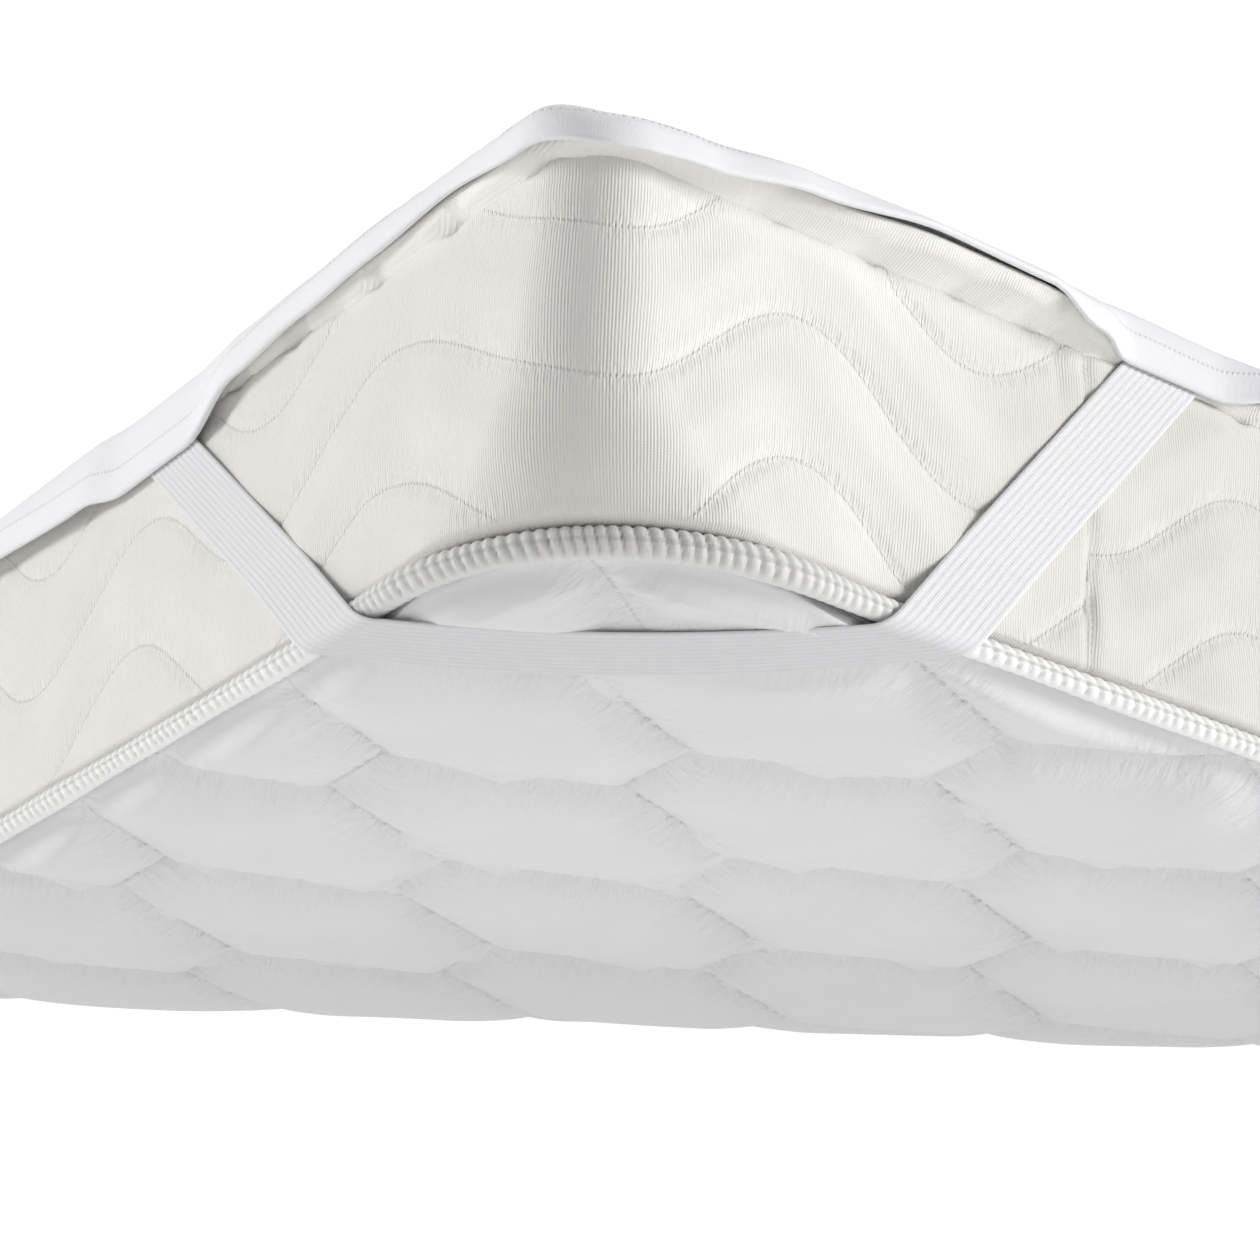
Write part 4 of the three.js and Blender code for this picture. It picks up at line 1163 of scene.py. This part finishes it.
# Stage, light and camera
FRONT = (0.72, -0.694)
FILL = 0.5
FRONT_SHARE = 0.3
BACKDROP = 1.05
LIGHT_DISTANCE = 20
LIGHT_HEIGHT = 4.75
LIGHT_SIZE = 8.5
RIGHT_POWER = 3450
LEFT_POWER = 2500
FLOOR_GLOW = 0.45
FLOOR_SHOWN = 0.75
FLOOR_HALF = 12


def floor():
    mesh = bpy.data.meshes.new("floor")
    ends = [(x * FLOOR_HALF, y * FLOOR_HALF, 0) for x, y in ((-1, -1), (1, -1), (1, 1), (-1, 1))]
    mesh.from_pydata(ends, [], [(0, 1, 2, 3)])
    look = Look("floor_white", (0.55, 0.55, 0.55), 0.9)
    look.shader.inputs["Emission Color"].default_value = (1, 1, 1, 1)
    seen = look.node("ShaderNodeLightPath", "Is Camera Ray")
    look.link(look.ramp(seen, 0.0, 1.0, FLOOR_GLOW, FLOOR_SHOWN), look.shader.inputs["Emission Strength"])
    mesh.materials.append(look.material)
    plane = linked("floor", mesh)


def area_light(name, place, target, size, power):
    light = bpy.data.lights.new(name, "AREA")
    light.shape = "DISK"
    light.size = size
    light.energy = power
    lamp = linked(name, light)
    lamp.location = place
    lamp.rotation_mode = "QUATERNION"
    lamp.rotation_quaternion = (Vector(target) - Vector(place)).to_track_quat("-Z", "Y")


def lights():
    world = bpy.data.worlds.new("studio")
    bpy.context.scene.world = world
    world.use_nodes = True
    nodes = Nodes(world.node_tree)
    background = nodes.tree.nodes["Background"]
    background.inputs["Color"].default_value = (1, 1, 1, 1)
    toward = nodes.node("ShaderNodeTexCoord", "Generated")
    facing = nodes.filled("ShaderNodeVectorMath", [toward, (*FRONT, 0)], operation="DOT_PRODUCT")["Value"]
    fill = nodes.ramp(facing, 0.15, 0.85, FILL, FILL * FRONT_SHARE)
    seen = nodes.node("ShaderNodeLightPath", "Is Camera Ray")
    nodes.link(nodes.ramp(seen, 0.0, 1.0, fill, BACKDROP), background.inputs["Strength"])
    corner = Vector((WIDTH / 2 * MM, -LENGTH / 2 * MM, 0.35))
    sideways = Vector((-FRONT[1], FRONT[0], 0))
    sides = (("right_softbox", sideways, RIGHT_POWER), ("left_softbox", -sideways, LEFT_POWER))
    for name, way, power in sides:
        place = corner + way * LIGHT_DISTANCE + Vector((0, 0, LIGHT_HEIGHT))
        area_light(name, place, corner, LIGHT_SIZE, power)


# The camera stands where the photograph was taken from, in flat metres from the raised corner
CAMERA_ALONG = -0.8257
CAMERA_ACROSS = -1.2336
CAMERA_UP = 0.288
CAMERA_YAW = 0.6120
CAMERA_PITCH = -0.0130
CAMERA_ROLL = 0.0344
FOCAL_PIXELS = 3400.7
IMAGE_PIXELS = 1260
SENSOR = 36


def camera():
    forward = Vector((
        -math.cos(CAMERA_YAW) * math.cos(CAMERA_PITCH),
        math.sin(CAMERA_YAW) * math.cos(CAMERA_PITCH),
        math.sin(CAMERA_PITCH),
    ))
    level = Vector((math.sin(CAMERA_YAW), math.cos(CAMERA_YAW), 0))
    upward = level.cross(forward)
    right = level * math.cos(CAMERA_ROLL) + upward * math.sin(CAMERA_ROLL)
    top = -level * math.sin(CAMERA_ROLL) + upward * math.cos(CAMERA_ROLL)
    data = bpy.data.cameras.new("camera")
    data.sensor_width = SENSOR
    data.lens = FOCAL_PIXELS * SENSOR / IMAGE_PIXELS
    data.clip_start = 0.05
    data.clip_end = 60
    eye = linked("camera", data)
    place = Vector((
        (WIDTH / 2 + SHIFT_X) * MM - CAMERA_ACROSS,
        CAMERA_ALONG + (SHIFT_Y - LENGTH / 2) * MM,
        CAMERA_UP,
    ))
    turned = Matrix((right, top, -forward)).transposed().to_4x4()
    eye.matrix_world = Matrix.Translation(place) @ turned
    bpy.context.scene.camera = eye


camera()
border_cloth = border_look("border_knit", (0.63, 0.616, 0.578), (0.87, 0.856, 0.815))
underside = quilted_underside(underside_look())
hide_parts("mattress")
border = mattress_border(border_cloth)
# The top uses a lighter copy of the border's knit: painted light that brightens the roll where it lies in
# shade under the sheet's hem
top = mattress_top(border_look("top_knit_painted_lighter", (0.88, 0.865, 0.82), (0.96, 0.95, 0.91)))
piping(piping_look())
sheet = protector_sheet(protector_look())
elastic = elastic_look()
for made in STRAPS:
    strap(made, elastic)
floor()
lights()
bpy.context.scene.view_settings.view_transform = "Standard"
